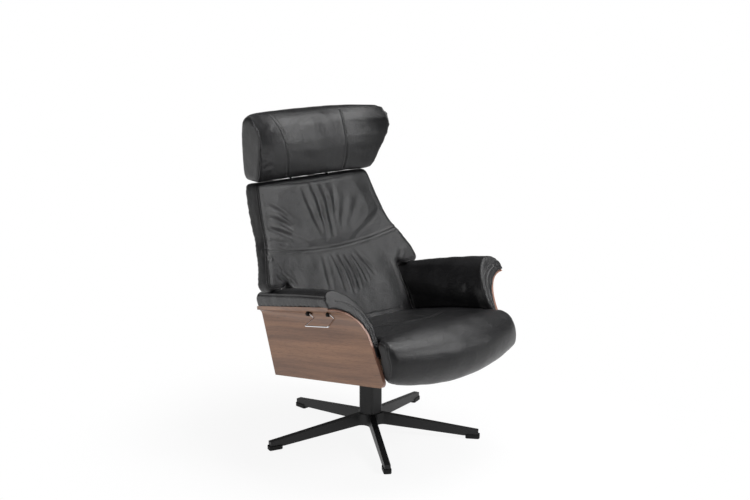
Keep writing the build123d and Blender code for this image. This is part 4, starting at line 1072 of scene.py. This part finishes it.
def camera():
    data = bpy.data.cameras.new("camera")
    data.lens = LENS
    data.sensor_width = SENSOR
    eye = bpy.data.objects.new("camera", data)
    eye.location = CAMERA_PLACE
    eye.rotation_euler = (math.pi / 2 - CAMERA_DOWN, 0, CAMERA_ROUND)
    bpy.context.scene.collection.objects.link(eye)
    bpy.context.scene.camera = eye


def seen(shading):
    """1 for rays from the camera, a mirror or glass, and 0 for the rest."""
    ray = [shading.node("ShaderNodeLightPath", output=name) for name in
           ("Is Camera Ray", "Is Glossy Ray", "Is Transmission Ray")]
    return (ray[0] + ray[1] + ray[2]).step(0.0, 1.0)


def floor():
    """A white floor that keeps the chair's shadow and fades into the white round it."""
    finish = Finish("white_floor")
    x, y, _ = finish.parts(finish.place())
    away = (x * x + y * y).root()
    glow = FLOOR_GLOW + (1 - FLOOR_GLOW) * away.step(*FLOOR_FADE)
    paint = finish.node("ShaderNodeBsdfDiffuse", None, {"Color": (0.86, 0.86, 0.87, 1)})
    light = finish.node("ShaderNodeEmission", None, {"Color": WHITE, "Strength": 1.0})
    mixed = finish.node("ShaderNodeMixShader", None, {0: glow * seen(finish), 1: paint, 2: light})
    finish.show(mixed, "Material Output")
    corners = [(x * FLOOR_HALF, y * FLOOR_HALF, 0) for x, y in ((-1, -1), (1, -1), (1, 1), (-1, 1))]
    new_piece("floor", corners, [(0, 1, 2, 3)], finish.material)


def world():
    """White all round for what is seen, under a dim ceiling, and softer as light on the chair."""
    world = bpy.data.worlds.new("studio")
    world.use_nodes = True
    bpy.context.scene.world = world
    shading = Shading(world.node_tree)
    _, _, z = shading.parts(shading.place("Generated"))
    white, ceiling, soft = [
        shading.node("ShaderNodeBackground", None, {"Color": WHITE, "Strength": strength})
        for strength in (1.0, CEILING_LEVEL, SOFT_LEVEL)]
    dim = z.step(0.0, CEILING_RISE)
    shown = shading.node("ShaderNodeMixShader", None, {0: dim, 1: white, 2: ceiling})
    mixed = shading.node("ShaderNodeMixShader", None, {0: seen(shading), 1: soft, 2: shown})
    shading.show(mixed, "World Output")


def soft_box(name, place, target, size, power):
    """A rectangular lamp that looks at a point."""
    data = bpy.data.lights.new(name, "AREA")
    data.shape = "RECTANGLE"
    data.size, data.size_y = size
    data.energy = power
    lamp = bpy.data.objects.new(name, data)
    lamp.location = place
    lamp.rotation_euler = (Vector(target) - Vector(place)).to_track_quat("-Z", "Y").to_euler()
    bpy.context.scene.collection.objects.link(lamp)


def lights():
    soft_box("key", (1.25, -2.5, 2.3), target=(0, 0, 0.6), size=(0.9, 0.9), power=58)
    soft_box("window", (-2.9, 0.6, 1.5), target=(0, 0, 0.5), size=(1.2, 1.2), power=15)
    soft_box("top", (0.9, -0.4, 3.0), target=(0, 0, 0.4), size=(1.5, 1.5), power=60)


# ---- the chair ----
bpy.context.scene.view_settings.view_transform = "Standard"
camera()
world()
floor()
lights()
dress_frame()
back_upholstery()
headrest_upholstery()
seat_upholstery()
arm_pad("arm_pad_left", 1)
arm_pad("arm_pad_right", -1)
